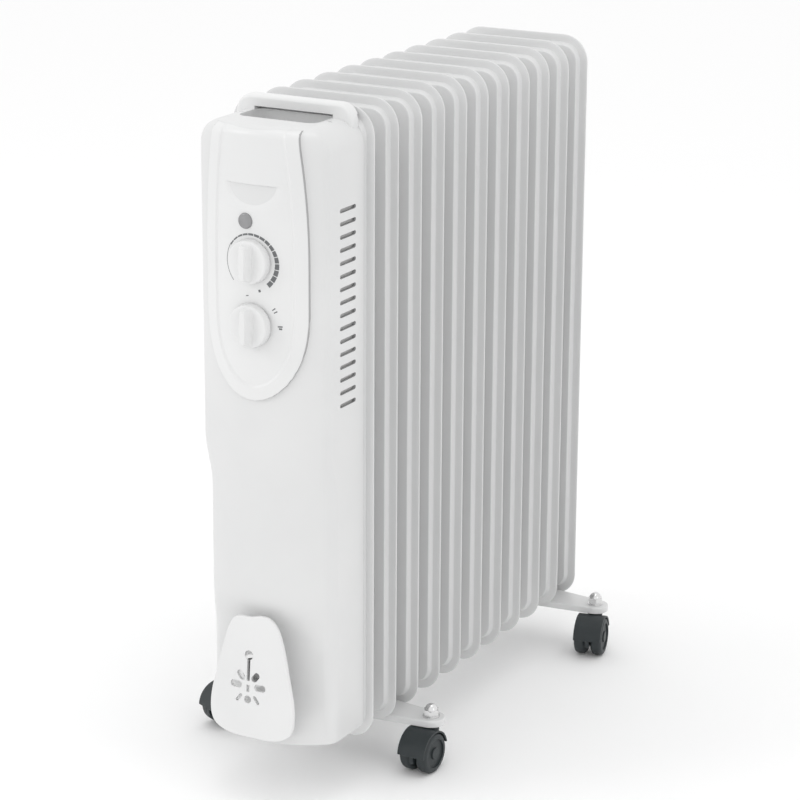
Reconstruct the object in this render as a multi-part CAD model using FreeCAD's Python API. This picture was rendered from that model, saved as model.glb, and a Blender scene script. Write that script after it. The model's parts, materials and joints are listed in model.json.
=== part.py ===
# Oil filled radiator heater: welded fin stack, moulded control housing, four swivel casters.
# Frame: X across the heater (right), Y along the fin stack (rear), Z up. The origin is on the
# floor, in the middle plane, below the middle of the fin stack. Sizes are millimetres.
import FreeCAD, Part
import math
import os
from FreeCAD import Vector as V

os.makedirs("parts", exist_ok=True)

# ---------------------------------------------------------------- driving dimensions
# Fins
FIN_COUNT = 11
FIN_PITCH = 42.0
FIN_WIDTH = 142.0
FIN_HEIGHT = 580.0
FIN_TOP_RADIUS = 26.0
FIN_BOTTOM_RADIUS = 23.0
SHEET = 0.6                  # steel sheet of the two pressed halves
FLANGE = 7.6                 # flat crimped rim round the oil space
BULGE_SLOPE = 2.2            # width of the sloping wall inside the rim
BULGE = 6.0                  # half thickness of the oil space
VALLEY_WIDTH = 12.0          # pressed valley between two oil channels
VALLEY_OFFSET = 22.0         # valley's distance from the fin's middle
VALLEY_END = 118.0           # valley's distance from the fin's top and bottom
# Headers that join the fins
HEADER_RADIUS = 22.0
HEADER_WALL = 2.0
HEADER_END = 46.0            # header axis to the fin's top or bottom edge
HEADER_WELD_LIP = 3.0         # lip at the front end of the element's neck
# Oil filler plug in the last fin
PLUG_THREAD_RADIUS = 6.0
PLUG_THREAD_LENGTH = 5.0
PLUG_HEAD_RADIUS = 9.0
PLUG_HEAD_HEIGHT = 6.0
PLUG_WASHER = 1.5
PLUG_SOCKET_RADIUS = 4.0
# Running gear
WHEEL_RADIUS = 19.0
WHEEL_WIDTH = 12.0
WHEEL_GAP = 4.8              # between the two wheels of a caster
CASTER_TRAIL = 15.0          # swivel axis to axle
CASTER_HEADROOM = 7.6        # wheel top to the underside of the foot bracket
AXLE_RADIUS = 2.2
STEM_RADIUS = 3.5
STEM_COLLAR_RADIUS = 7.0
STEM_COLLAR_HEIGHT = 2.0
STEM_CLEARANCE = 1.4         # end of the stem to the wheels below it
HOOD_BOSS_RADIUS = 7.5
HOOD_WALL = 1.6
HOOD_GAP = 0.7               # hood to the wheel's tread
RUNNING_FIT = 0.05           # radial clearance of a turning shaft
SIDE_GAP = 0.3               # between faces that turn past each other
STEM_ABOVE = 9.0             # threaded end above the foot bracket
CAP_NUT_RADIUS = 7.5         # across the hexagon's corners, halved
CAP_NUT_HEX = 6.0
CAP_NUT_DOME = 6.0
CAP_NUT_WASHER = 1.2
# Foot brackets
BRACKET_THICKNESS = 2.0
BRACKET_FLANGE = 6.3
BRACKET_RISE = 4.6           # top above the fins' lower edge, in the gap of two fins
BRACKET_GAP = 0.4            # bracket to the flat rims beside it
BRACKET_TIP_HALF = 13.0
BRACKET_ROOT_X = 42.0
CASTER_OUTREACH = 33.5       # swivel axis outside the fins
FRONT_BRACKET_SHIFT = -8.0   # the front bracket is bolted off centre, in its slots
BRACKET_SLOT_HALF = 10.0     # half length of the slots for the U-bolt's legs
FRONT_FEET_AFTER_FIN = 2     # the bracket sits between this fin and the next
REAR_FEET_AFTER_FIN = 10
UBOLT_RADIUS = 2.5
UBOLT_CLEARANCE = 1.5        # U-bolt to the header it hangs on
WING_NUT_HEIGHT = 7.0
# Control housing, measured from the middle plane and from the first fin
HOUSING_HALF = 63.5
HOUSING_REAR = -BULGE
HOUSING_BOTTOM = 15.5        # above the fins' lower edge
HOUSING_DROP = 10.0          # top below the fins' upper edge
HOUSING_WALL = 2.5
SIDE_UPPER = 65.8            # first fin to the side's front edge, upper part
SIDE_LOWER = 57.0            # the same, lower part
FRONT_UPPER = 84.5           # first fin to the crown of the front, upper part
FRONT_LOWER = 76.0
FRONT_NECK = 66.0            # hollow behind the cord plate
FRONT_LIP = 83.0             # lip below the cord plate
WAIST_HEIGHT = 265.0         # middle of the step from upper to lower part
CORNER_UPPER = 9.0
CORNER_LOWER = 14.0
SHOULDER_RADIUS = 22.0       # top corners seen from the front
BROW_RADIUS = 8.0            # top edge seen from the side
# Vents in both sides
VENT_COUNT = 16
VENT_PITCH = 11.45
VENT_LENGTH = 26.5
VENT_WIDTH = 3.2
VENT_TOP = 497.5
VENT_MIDDLE_Y = -32.5
# Control fascia
FASCIA_RAISE = 3.0           # outer band, proud of the housing
FASCIA_SKIN = 1.3            # hollow middle, proud of the housing
FASCIA_HALF_TOP = 41.5
FASCIA_HALF = 50.5
FASCIA_BAND = 13.5
FASCIA_DROP = 1.5            # top edge below the housing's top
FASCIA_BOTTOM = 333.0
FASCIA_FULL_HEIGHT = 455.0   # where the fascia is widest
FASCIA_TONGUE = 62.0         # height of the rounded lower end
LABEL_HALF = 27.0             # sunk field for a label
LABEL_TOP = 520.0
LABEL_HEIGHT = 19.0
LABEL_DEPTH = 0.7
# Controls
THERMOSTAT_Z = 455.5
SELECTOR_Z = 399.5
KNOB_RADIUS = 19.2
KNOB_SKIRT = 7.5
KNOB_GRIP = 8.5
KNOB_GRIP_WIDTH = 7.5
KNOB_STANDOFF = 0.8
SHAFT_RADIUS = 3.0
SHAFT_HOLE_RADIUS = 6.0
SHAFT_FLAT = 1.0
SHAFT_REACH = 4.0            # shaft's tip past the back of the skirt's face
SWITCH_HALF = 17.0           # half the height of both switch bodies
SWITCH_DEPTH = 26.0
THERMOSTAT_BODY_HALF = 19.0
SELECTOR_BODY_HALF = 17.0
SWITCH_INSET = 1.0           # bush to the inside of the housing's wall
BUSH_LENGTH = 7.0
BUSH_RADIUS = 5.0
BLADE_HALF = 2.4
BLADE_THICKNESS = 0.8
LENS_X = -5.5
LENS_Z = 489.5
LENS_RADIUS = 6.8
LENS_PROUD = 1.6
LENS_FIT = 0.1
LAMP_RADIUS = 3.2
# Carry handle and its recess
HANDLE_INSET = 5.5           # end of the bar inside the housing's side
HANDLE_RISE = 3.0            # top of the bar above the fins
HANDLE_BAR = 10.0
HANDLE_DEPTH = 14.0
HANDLE_REAR = -2.0
HANDLE_CORNER = 15.0
HANDLE_ROUND = 3.5
RECESS_HALF = 39.0
RECESS_FRONT = -46.0
RECESS_DEPTH = 30.0
HANDLE_SCREW_INSET = 8.0     # screw to the end of the bar
CLIP_X = 44.0                # hooks of the back plate in the housing's top
CLIP_Y = -29.6
CLIP_HALF = 2.2
CLIP_THICKNESS = 1.4
CLIP_FIT = 0.2
# Cord plate
CORD_PLATE_TOP = 134.0
CORD_PLATE_BOTTOM = 22.0
CORD_PLATE_HALF_TOP = 20.0
CORD_PLATE_HALF = 43.0
CORD_PLATE_THICK = 3.0
CORD_PLATE_FRONT = 91.0      # first fin to the plate's front face at mid height
CORD_PLATE_LEAN = 4.5        # degrees, the foot stands further out
CORD_PLATE_WIDEST = 46.0
NECK_RADIUS = 15.0
NECK_Z = 84.0
ROSETTE_X = -4.5
ROSETTE_Z = 69.0
# Screws
SCREW_RADIUS = 2.0
SCREW_HOLE = 2.1
SCREW_HEAD_RADIUS = 3.6
SCREW_HEAD = 2.2
BOTTOM_SCREW_X = 45.0
BOTTOM_SCREW_Y = -20.0
CORD_SCREW_OFFSET = 6.5
HANDLE_BOSS_RADIUS = 5.0
HANDLE_BOSS_DROP = 5.0       # boss below the inside of the wall
HANDLE_SCREW_BITE = 5.0      # screw tip above the housing's top
PAD_THICKNESS = 1.5          # cord plate's screw pad, inside the wall
# Inside the housing
BACK_PLATE = 1.2
BACK_PLATE_GAP = 0.4
GLAND_X = -30.0
GLAND_Y = -32.0
CORD_BORE_RADIUS = 3.75
GLAND_RADIUS = 7.0
GLAND_LENGTH = 18.0
ELEMENT_TUBE_RADIUS = 4.0
ELEMENT_LEG = 8.0
ELEMENT_ROW = 7.5
ELEMENT_SHORT = 35.0         # hairpin's bend to the last fin
ELEMENT_STUB = 4.0           # sheath in front of the flange
ELEMENT_PIN_RADIUS = 1.5
ELEMENT_PIN_LENGTH = 9.0
NECK_LENGTH = 9.0            # element neck in front of the first fin
GASKET = 1.5
FLANGE_THICK = 6.0
FLANGE_OVERHANG = 5.0        # flange outside the header
TERMINAL_Z = 185.0
CUTOUT_Z = 262.0
WIRE_RADIUS = 1.3

# ---------------------------------------------------------------- derived places
CASTER_HEIGHT = 2 * WHEEL_RADIUS + CASTER_HEADROOM
BRACKET_ROOT_HALF = FIN_PITCH / 2 - SHEET - BRACKET_GAP
CASTER_X = FIN_WIDTH / 2 + CASTER_OUTREACH
HOUSING_TOP = FIN_HEIGHT - HOUSING_DROP
HANDLE_TOP = FIN_HEIGHT + HANDLE_RISE
HANDLE_HALF = HOUSING_HALF - HANDLE_INSET
HANDLE_SCREW_X = HANDLE_HALF - HANDLE_SCREW_INSET
FLOOR_TO_FINS = CASTER_HEIGHT + BRACKET_THICKNESS - BRACKET_RISE
STACK_LENGTH = (FIN_COUNT - 1) * FIN_PITCH
TO_ORIGIN = V(0, -STACK_LENGTH / 2, FLOOR_TO_FINS)
UPPER_HEADER_Z = FIN_HEIGHT - HEADER_END
LOWER_HEADER_Z = HEADER_END
HEADER_BORE = HEADER_RADIUS - HEADER_WALL
FRONT_FEET_Y = (FRONT_FEET_AFTER_FIN - 0.5) * FIN_PITCH
REAR_FEET_Y = (REAR_FEET_AFTER_FIN - 0.5) * FIN_PITCH
BRACKET_TIP_X = CASTER_X + BRACKET_TIP_HALF
BRACKET_UNDER = BRACKET_RISE - BRACKET_THICKNESS
FLOOR = -FLOOR_TO_FINS
AXLE_Z = FLOOR + WHEEL_RADIUS
STEM_COLLAR_Z = BRACKET_UNDER - STEM_COLLAR_HEIGHT
HOOD_TOP = STEM_COLLAR_Z - SIDE_GAP
STEM_BOTTOM = (AXLE_Z + math.sqrt(WHEEL_RADIUS ** 2 - (CASTER_TRAIL - STEM_RADIUS) ** 2)
               + STEM_CLEARANCE)
BACK_PLATE_FRONT = HOUSING_REAR - BACK_PLATE
FLANGE_RADIUS = HEADER_RADIUS + FLANGE_OVERHANG
CONTROL_FRONT = -(FRONT_UPPER - HOUSING_WALL) + SWITCH_INSET
SHAFT_TIP = -(FRONT_UPPER + FASCIA_SKIN) - KNOB_STANDOFF - KNOB_SKIRT - SHAFT_REACH
ELEMENT_PIN_FRONT = (-BULGE - NECK_LENGTH - GASKET - FLANGE_THICK - ELEMENT_STUB
                     - ELEMENT_PIN_LENGTH)
FASCIA_FACE = -(FRONT_UPPER + FASCIA_SKIN)
HANDLE_FRONT = HANDLE_REAR - HANDLE_DEPTH
HANDLE_SCREW_Y = (HANDLE_FRONT + HOUSING_REAR) / 2
CORD_SCREW_SEAT = -(FRONT_NECK - HOUSING_WALL - PAD_THICKNESS)


# ---------------------------------------------------------------- general helpers
def save(name, shape):
    moved = shape.copy()
    moved.translate(TO_ORIGIN)
    moved.exportStep("parts/" + name + ".step")


def box(x0, x1, y0, y1, z0, z1):
    return Part.makeBox(x1 - x0, y1 - y0, z1 - z0, V(x0, y0, z0))


def rod(radius, start, end):
    direction = end - start
    return Part.makeCylinder(radius, direction.Length, start, direction)


def rod_y(radius, x, z, y0, y1):
    return rod(radius, V(x, y0, z), V(x, y1, z))


def rod_z(radius, x, y, z0, z1):
    return rod(radius, V(x, y, z0), V(x, y, z1))


def tube_y(outer, inner, x, z, y0, y1):
    return rod_y(outer, x, z, y0, y1).cut(rod_y(inner, x, z, y0, y1))


def fuse(shapes):
    return shapes[0].multiFuse(shapes[1:]).removeSplitter()


def group(shapes):
    return Part.makeCompound(shapes)


def arc(start, middle, end):
    return Part.Arc(start, middle, end).toShape()


def line(start, end):
    return Part.LineSegment(start, end).toShape()


def slot_prism(half_width, z0, z1, x, y0, y1):
    """Upright slot with round ends, cut through along Y."""
    r = half_width
    edges = [
        line(V(x - r, y0, z0 + r), V(x - r, y0, z1 - r)),
        arc(V(x - r, y0, z1 - r), V(x, y0, z1), V(x + r, y0, z1 - r)),
        line(V(x + r, y0, z1 - r), V(x + r, y0, z0 + r)),
        arc(V(x + r, y0, z0 + r), V(x, y0, z0), V(x - r, y0, z0 + r)),
    ]
    return Part.Face(Part.Wire(edges)).extrude(V(0, y1 - y0, 0))


# ---------------------------------------------------------------- fins and headers
def fin_outline(inset, y):
    """Fin outline with round corners, drawn a distance inside the rim."""
    half = FIN_WIDTH / 2 - inset
    low = inset
    high = FIN_HEIGHT - inset
    rt = FIN_TOP_RADIUS - inset
    rb = FIN_BOTTOM_RADIUS - inset
    k = 1 - math.sqrt(0.5)
    edges = [
        line(V(-half + rb, y, low), V(half - rb, y, low)),
        arc(V(half - rb, y, low), V(half - k * rb, y, low + k * rb), V(half, y, low + rb)),
        line(V(half, y, low + rb), V(half, y, high - rt)),
        arc(V(half, y, high - rt), V(half - k * rt, y, high - k * rt), V(half - rt, y, high)),
        line(V(half - rt, y, high), V(-half + rt, y, high)),
        arc(V(-half + rt, y, high), V(-half + k * rt, y, high - k * rt), V(-half, y, high - rt)),
        line(V(-half, y, high - rt), V(-half, y, low + rb)),
        arc(V(-half, y, low + rb), V(-half + k * rb, y, low + k * rb), V(-half + rb, y, low)),
    ]
    return Part.Wire(edges)


def oil_half(side, wall):
    """One pressed half of the oil space, shrunk all round by the sheet's thickness."""
    root = fin_outline(FLANGE + wall, 0)
    crest = fin_outline(FLANGE + BULGE_SLOPE + wall, side * (BULGE - wall))
    half = Part.makeLoft([root, crest], True, True)
    for x in (-VALLEY_OFFSET, VALLEY_OFFSET):
        floor = side * (SHEET - wall)
        valley = slot_prism(VALLEY_WIDTH / 2 + wall, VALLEY_END - wall,
                            FIN_HEIGHT - VALLEY_END + wall, x, floor, side * (BULGE + 1))
        half = half.cut(valley)
    return half


def fin_blank():
    """Rim plate and hollow oil space of one fin, before the header holes."""
    rim = Part.Face(fin_outline(0, -SHEET)).extrude(V(0, 2 * SHEET, 0))
    outer = fuse([rim, oil_half(1, 0), oil_half(-1, 0)])
    oil_space = oil_half(1, SHEET).fuse(oil_half(-1, SHEET)).removeSplitter()
    return outer.cut(oil_space)


def make_fin(number, blank):
    """A fin with header holes only where oil or the heating element passes."""
    fin = blank.copy()
    for z in (LOWER_HEADER_Z, UPPER_HEADER_Z):
        opens_front = number > 1 or z == LOWER_HEADER_Z
        opens_rear = number < FIN_COUNT
        if opens_front:
            fin = fin.cut(rod_y(HEADER_BORE, 0, z, -BULGE - 1, 0))
        if opens_rear:
            fin = fin.cut(rod_y(HEADER_BORE, 0, z, 0, BULGE + 1))
    if number == FIN_COUNT:
        fin = fin.cut(rod_y(PLUG_THREAD_RADIUS, 0, UPPER_HEADER_Z, 0, BULGE + 1))
    fin.translate(V(0, (number - 1) * FIN_PITCH, 0))
    return fin


def header_collars(z):
    rings = []
    for gap in range(FIN_COUNT - 1):
        start = gap * FIN_PITCH + BULGE
        end = (gap + 1) * FIN_PITCH - BULGE
        rings.append(tube_y(HEADER_RADIUS, HEADER_BORE, 0, z, start, end))
    return rings


def hexagon_prism(radius, start, direction):
    """Hexagonal prism standing on a point, its corners at the radius."""
    length = direction.Length
    corners = []
    for k in range(7):
        a = math.radians(60 * k)
        corners.append(V(radius * math.cos(a), radius * math.sin(a), 0))
    prism = Part.Face(Part.makePolygon(corners)).extrude(V(0, 0, length))
    prism.Placement = FreeCAD.Placement(start, FreeCAD.Rotation(V(0, 0, 1), direction))
    return prism


def oil_filler_plug():
    rear = STACK_LENGTH + BULGE
    z = UPPER_HEADER_Z
    seat = rear + PLUG_WASHER
    washer = rod_y(PLUG_HEAD_RADIUS + PLUG_WASHER, 0, z, rear, seat)
    head = hexagon_prism(PLUG_HEAD_RADIUS, V(0, seat, z), V(0, PLUG_HEAD_HEIGHT, 0))
    thread = rod_y(PLUG_THREAD_RADIUS, 0, z, rear - SHEET - PLUG_THREAD_LENGTH, rear)
    socket = hexagon_prism(PLUG_SOCKET_RADIUS, V(0, seat + 2, z), V(0, PLUG_HEAD_HEIGHT, 0))
    return fuse([washer, head, thread]).cut(socket)


# ---------------------------------------------------------------- heating element
def element_neck():
    """Short collar on the first fin that the element's flange seals against."""
    back = -BULGE
    neck = rod_y(HEADER_RADIUS, 0, LOWER_HEADER_Z, back - NECK_LENGTH, back)
    front = back - NECK_LENGTH
    lip = rod_y(FLANGE_RADIUS, 0, LOWER_HEADER_Z, front, front + HEADER_WELD_LIP)
    bore = rod_y(HEADER_BORE, 0, LOWER_HEADER_Z, front - 1, back + 1)
    return fuse([neck, lip]).cut(bore)


def element_legs():
    """Leg centres, as X and Z offsets from the header's axis, one pair to a hairpin."""
    return [((-ELEMENT_LEG, row), (ELEMENT_LEG, row)) for row in (-ELEMENT_ROW, ELEMENT_ROW)]


def element_gasket():
    y = -BULGE - NECK_LENGTH
    return tube_y(FLANGE_RADIUS, HEADER_BORE, 0, LOWER_HEADER_Z, y - GASKET, y)


def element_flange():
    y = -BULGE - NECK_LENGTH - GASKET
    disc = rod_y(FLANGE_RADIUS, 0, LOWER_HEADER_Z, y - FLANGE_THICK, y)
    holes = []
    for pair in element_legs():
        for x, dz in pair:
            radius = ELEMENT_TUBE_RADIUS + RUNNING_FIT
            holes.append(rod_y(radius, x, LOWER_HEADER_Z + dz, y - FLANGE_THICK - 1, y + 1))
    return disc.cut(group(holes))


def heating_element():
    """Two sheathed hairpins with terminal pins, reaching along the lower header."""
    hairpins = []
    front = ELEMENT_PIN_FRONT + ELEMENT_PIN_LENGTH
    far = STACK_LENGTH - ELEMENT_SHORT
    for (x0, dz), (x1, _) in element_legs():
        z = LOWER_HEADER_Z + dz
        path = Part.Wire([
            line(V(x0, front, z), V(x0, far, z)),
            arc(V(x0, far, z), V(0, far + ELEMENT_LEG, z), V(x1, far, z)),
            line(V(x1, far, z), V(x1, front, z)),
        ])
        section = Part.Wire(Part.makeCircle(ELEMENT_TUBE_RADIUS, V(x0, front, z), V(0, 1, 0)))
        sheath = path.makePipeShell([section], True, True)
        pins = [rod_y(ELEMENT_PIN_RADIUS, x, z, ELEMENT_PIN_FRONT, front + 2) for x in (x0, x1)]
        hairpins.append(fuse([sheath] + pins))
    return group(hairpins)


# ---------------------------------------------------------------- control housing
def housing_profile(z):
    """Half width, side depth, crown depth and corner radius of the housing at a height."""
    side = SIDE_UPPER
    crown = FRONT_UPPER
    corner = CORNER_UPPER
    lower = blend_step(z, WAIST_HEIGHT + 25, WAIST_HEIGHT - 25)
    side += (SIDE_LOWER - SIDE_UPPER) * lower
    crown += (FRONT_LOWER - FRONT_UPPER) * lower
    corner += (CORNER_LOWER - CORNER_UPPER) * lower
    neck = blend_step(z, CORD_PLATE_TOP + 12, CORD_PLATE_TOP - 26)
    crown += (FRONT_NECK - FRONT_LOWER) * neck
    lip = blend_step(z, HOUSING_BOTTOM + 40, HOUSING_BOTTOM + 6)
    crown += (FRONT_LIP - FRONT_NECK) * lip
    half = HOUSING_HALF
    shoulder = z - (HOUSING_TOP - SHOULDER_RADIUS)
    if shoulder > 0:
        half -= SHOULDER_RADIUS - math.sqrt(SHOULDER_RADIUS ** 2 - shoulder ** 2)
    brow = z - (HOUSING_TOP - BROW_RADIUS)
    if brow > 0:
        drop = BROW_RADIUS - math.sqrt(BROW_RADIUS ** 2 - brow ** 2)
        side -= drop
        crown -= drop
    return half, side, crown, corner


def blend_step(z, start, end):
    """Smooth step: 0 at start, 1 at end."""
    t = min(max((z - start) / (end - start), 0.0), 1.0)
    return t * t * (3 - 2 * t)


def housing_section(z, wall, forward, rear):
    """Closed plan outline of the housing: flat rear, straight sides, crowned front."""
    half, side, crown, corner = housing_profile(z)
    half -= wall
    side += forward - wall
    crown += forward - wall
    corner -= min(wall, corner - 2)
    sag = crown - side
    radius = (half ** 2 + sag ** 2) / (2 * sag)
    turn = math.asin((half - corner) / (radius - corner))
    centre = V(0, -crown + radius, z)
    knuckle_y = centre.y - (radius - corner) * math.cos(turn)
    joint = V(radius * math.sin(turn), centre.y - radius * math.cos(turn), z)
    bisector = (math.pi / 2 + turn) / 2
    middle = V(half - corner + corner * math.sin(bisector),
               knuckle_y - corner * math.cos(bisector), z)
    flank = V(half, knuckle_y, z)
    back = V(half, rear, z)
    edges = [
        line(mirrored(back), back),
        line(back, flank),
        arc(flank, middle, joint),
        arc(joint, V(0, -crown, z), mirrored(joint)),
        arc(mirrored(joint), mirrored(middle), mirrored(flank)),
        line(mirrored(flank), mirrored(back)),
    ]
    return Part.Wire(edges)


def mirrored(point):
    return V(-point.x, point.y, point.z)


def section_heights(bottom, top):
    """Heights of the housing's sections: close where the profile bends."""
    brow = HOUSING_TOP - BROW_RADIUS
    shoulder = HOUSING_TOP - SHOULDER_RADIUS
    marks = [bottom, HOUSING_BOTTOM + 12, HOUSING_BOTTOM + 24, HOUSING_BOTTOM + 40,
             NECK_Z, CORD_PLATE_TOP - 18, CORD_PLATE_TOP, CORD_PLATE_TOP + 16,
             WAIST_HEIGHT - 45, WAIST_HEIGHT - 18, WAIST_HEIGHT, WAIST_HEIGHT + 18,
             WAIST_HEIGHT + 45, FASCIA_BOTTOM + 10]
    lift = [0.35, 0.55, 0.75, 0.88, 0.96]
    marks += [shoulder - 60, shoulder, shoulder + 0.35 * SHOULDER_RADIUS, brow]
    marks += [brow + BROW_RADIUS * k for k in lift]
    return sorted(z for z in marks if z < top) + [top]


def housing_body(wall=0.0, forward=0.0, rear=HOUSING_REAR):
    bottom = HOUSING_BOTTOM + wall
    top = HOUSING_TOP - wall
    sections = [housing_section(z, wall, forward, rear) for z in section_heights(bottom, top)]
    return Part.makeLoft(sections, True, True)


def handle_recess(extra):
    """Scoop under the handle; extra gives the wall round it."""
    low = HOUSING_TOP - RECESS_DEPTH - extra
    half = RECESS_HALF + extra
    front = RECESS_FRONT - extra
    block = box(-half, half, front, HOUSING_REAR - HOUSING_WALL + extra, low, HOUSING_TOP + 20)
    upright = [e for e in block.Edges if abs(e.tangentAt(0).z) > 0.99]
    return block.makeFillet(9.0 + extra, upright)


def vent_slots():
    slots = []
    r = VENT_WIDTH / 2
    reach = HOUSING_HALF + 5
    for k in range(VENT_COUNT):
        z = VENT_TOP - k * VENT_PITCH
        front = VENT_MIDDLE_Y - VENT_LENGTH / 2 + r
        back = VENT_MIDDLE_Y + VENT_LENGTH / 2 - r
        slots.append(rod(r, V(-reach, front, z), V(reach, front, z)))
        slots.append(rod(r, V(-reach, back, z), V(reach, back, z)))
        slots.append(box(-reach, reach, front, back, z - r, z + r))
    return slots


def clip_slots():
    """Two narrow slots in the top where the back plate's tongues hook in."""
    wide = CLIP_HALF + CLIP_FIT
    thick = CLIP_THICKNESS / 2 + CLIP_FIT
    return [box(x - wide, x + wide, CLIP_Y - thick, CLIP_Y + thick,
                HOUSING_TOP - SHOULDER_RADIUS / 2, HOUSING_TOP + 1) for x in (-CLIP_X, CLIP_X)]


def handle_bosses(outer):
    """Two posts under the shoulders that the handle's screws pull against."""
    posts = [rod_z(HANDLE_BOSS_RADIUS, x, HANDLE_SCREW_Y, handle_screw_seat(), HOUSING_TOP)
             for x in (-HANDLE_SCREW_X, HANDLE_SCREW_X)]
    return group(posts).common(outer)


def handle_screw_seat():
    """Height of the flat that a handle screw's head bears on."""
    inboard = max(0.0, HANDLE_SCREW_X - (HOUSING_HALF - SHOULDER_RADIUS))
    shoulder = HOUSING_TOP - SHOULDER_RADIUS + math.sqrt(SHOULDER_RADIUS ** 2 - inboard ** 2)
    return shoulder - HOUSING_WALL - HANDLE_BOSS_DROP


def cord_screw_pad(outer):
    """Flat pad inside the front wall, behind the cord plate's neck."""
    low = NECK_Z - CORD_SCREW_OFFSET - SCREW_HEAD_RADIUS - 2
    high = NECK_Z + CORD_SCREW_OFFSET + SCREW_HEAD_RADIUS + 2
    pad = slot_prism(SCREW_HEAD_RADIUS + 2, low, high, 0, -FRONT_UPPER, CORD_SCREW_SEAT)
    return pad.common(outer)


def housing_shell(outer):
    inner = housing_body(wall=HOUSING_WALL, rear=HOUSING_REAR + 20)
    inner = inner.cut(handle_recess(HOUSING_WALL))
    shell = fuse([outer.cut(inner), handle_bosses(outer), cord_screw_pad(outer)])
    cuts = [handle_recess(0)]
    cuts += vent_slots()
    cuts += clip_slots()
    for z in (THERMOSTAT_Z, SELECTOR_Z):
        cuts.append(rod_y(SHAFT_HOLE_RADIUS, 0, z, -FRONT_UPPER - 5, -SIDE_UPPER))
    cuts.append(rod_y(LENS_RADIUS - 1.5, LENS_X, LENS_Z, -FRONT_UPPER - 5, -SIDE_UPPER))
    cuts.append(rod_z(GLAND_RADIUS + RUNNING_FIT, GLAND_X, GLAND_Y,
                      HOUSING_BOTTOM - 1, HOUSING_BOTTOM + 6))
    for x, y in bottom_screw_places():
        cuts.append(rod_z(SCREW_HOLE, x, y, HOUSING_BOTTOM - 1, HOUSING_BOTTOM + 6))
    for x in (-HANDLE_SCREW_X, HANDLE_SCREW_X):
        cuts.append(rod_z(SCREW_HOLE, x, HANDLE_SCREW_Y, handle_screw_seat() - 1, HOUSING_TOP + 1))
    for z in cord_screw_heights():
        cuts.append(rod_y(SCREW_HOLE, 0, z, -FRONT_UPPER, CORD_SCREW_SEAT + 1))
    return shell.cut(group(cuts))


def bottom_screw_places():
    return [(-BOTTOM_SCREW_X, BOTTOM_SCREW_Y), (BOTTOM_SCREW_X, BOTTOM_SCREW_Y)]


def cord_screw_heights():
    return [NECK_Z - CORD_SCREW_OFFSET, NECK_Z + CORD_SCREW_OFFSET]


def screw(tip_length, start, direction):
    """Pan head screw: the head's underside is at start, the shank runs along direction."""
    shank = Part.makeCylinder(SCREW_RADIUS, tip_length)
    head = Part.makeCylinder(SCREW_HEAD_RADIUS, SCREW_HEAD, V(0, 0, -SCREW_HEAD))
    rim = [e for e in head.Edges if abs(e.BoundBox.ZMax + SCREW_HEAD) < 1e-6]
    head = head.makeFillet(1.0, rim)
    cross = box(-2.2, 2.2, -0.5, 0.5, -SCREW_HEAD - 1, -SCREW_HEAD + 1.1)
    cross = cross.fuse(box(-0.5, 0.5, -2.2, 2.2, -SCREW_HEAD - 1, -SCREW_HEAD + 1.1))
    body = fuse([shank, head]).cut(cross)
    body.Placement = FreeCAD.Placement(start, FreeCAD.Rotation(V(0, 0, 1), direction))
    return body


# ---------------------------------------------------------------- control fascia
def fascia_half_at(z, inset):
    full = FASCIA_HALF - inset
    top = FASCIA_HALF_TOP - inset
    t = (z - FASCIA_FULL_HEIGHT) / (HOUSING_TOP - FASCIA_FULL_HEIGHT)
    return full + (top - full) * t * t


def fascia_outline(inset, high):
    """Tongue shape, seen from the front: gently bowed sides, round lower end."""
    y = -FRONT_UPPER - 20
    bottom = FASCIA_BOTTOM + inset * 1.8
    shoulder = FASCIA_BOTTOM + FASCIA_TONGUE + 12
    half = FASCIA_HALF - inset
    levels = [high, (high + FASCIA_FULL_HEIGHT) / 2, FASCIA_FULL_HEIGHT]
    right = [V(fascia_half_at(z, inset), y, z) for z in levels]
    right.append(V(half - 0.4, y, shoulder))
    lift = shoulder - bottom
    for angle in (25, 50, 72):
        a = math.radians(angle)
        right.append(V((half - 0.4) * math.cos(a), y, shoulder - lift * math.sin(a)))
    points = right + [V(0, y, bottom)] + [mirrored(p) for p in reversed(right)]
    curve = Part.BSplineCurve()
    curve.interpolate(points)
    return Part.Wire([curve.toShape(), line(points[-1], points[0])])


def fascia_prism(inset, high):
    return Part.Face(fascia_outline(inset, high)).extrude(V(0, 60, 0))


def control_fascia(outer):
    top = HOUSING_TOP - FASCIA_DROP
    band = housing_body(forward=FASCIA_RAISE).common(fascia_prism(0, top)).cut(outer)
    hollow = fascia_prism(FASCIA_BAND, top - FASCIA_BAND / 2).cut(housing_body(forward=FASCIA_SKIN))
    fascia = band.cut(hollow)
    label = box(-LABEL_HALF, LABEL_HALF, -FRONT_UPPER - 20, -50, LABEL_TOP - LABEL_HEIGHT, LABEL_TOP)
    label = label.cut(housing_body(forward=FASCIA_SKIN - LABEL_DEPTH))
    cuts = [label]
    for z in (THERMOSTAT_Z, SELECTOR_Z):
        cuts.append(rod_y(SHAFT_HOLE_RADIUS, 0, z, -FRONT_UPPER - 9, -50))
    cuts.append(rod_y(LENS_RADIUS + LENS_FIT, LENS_X, LENS_Z, -FRONT_UPPER - 9, -50))
    return largest_solid(fascia.cut(group(cuts)))


def largest_solid(shape):
    return max(shape.Solids, key=lambda s: s.Volume)


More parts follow.
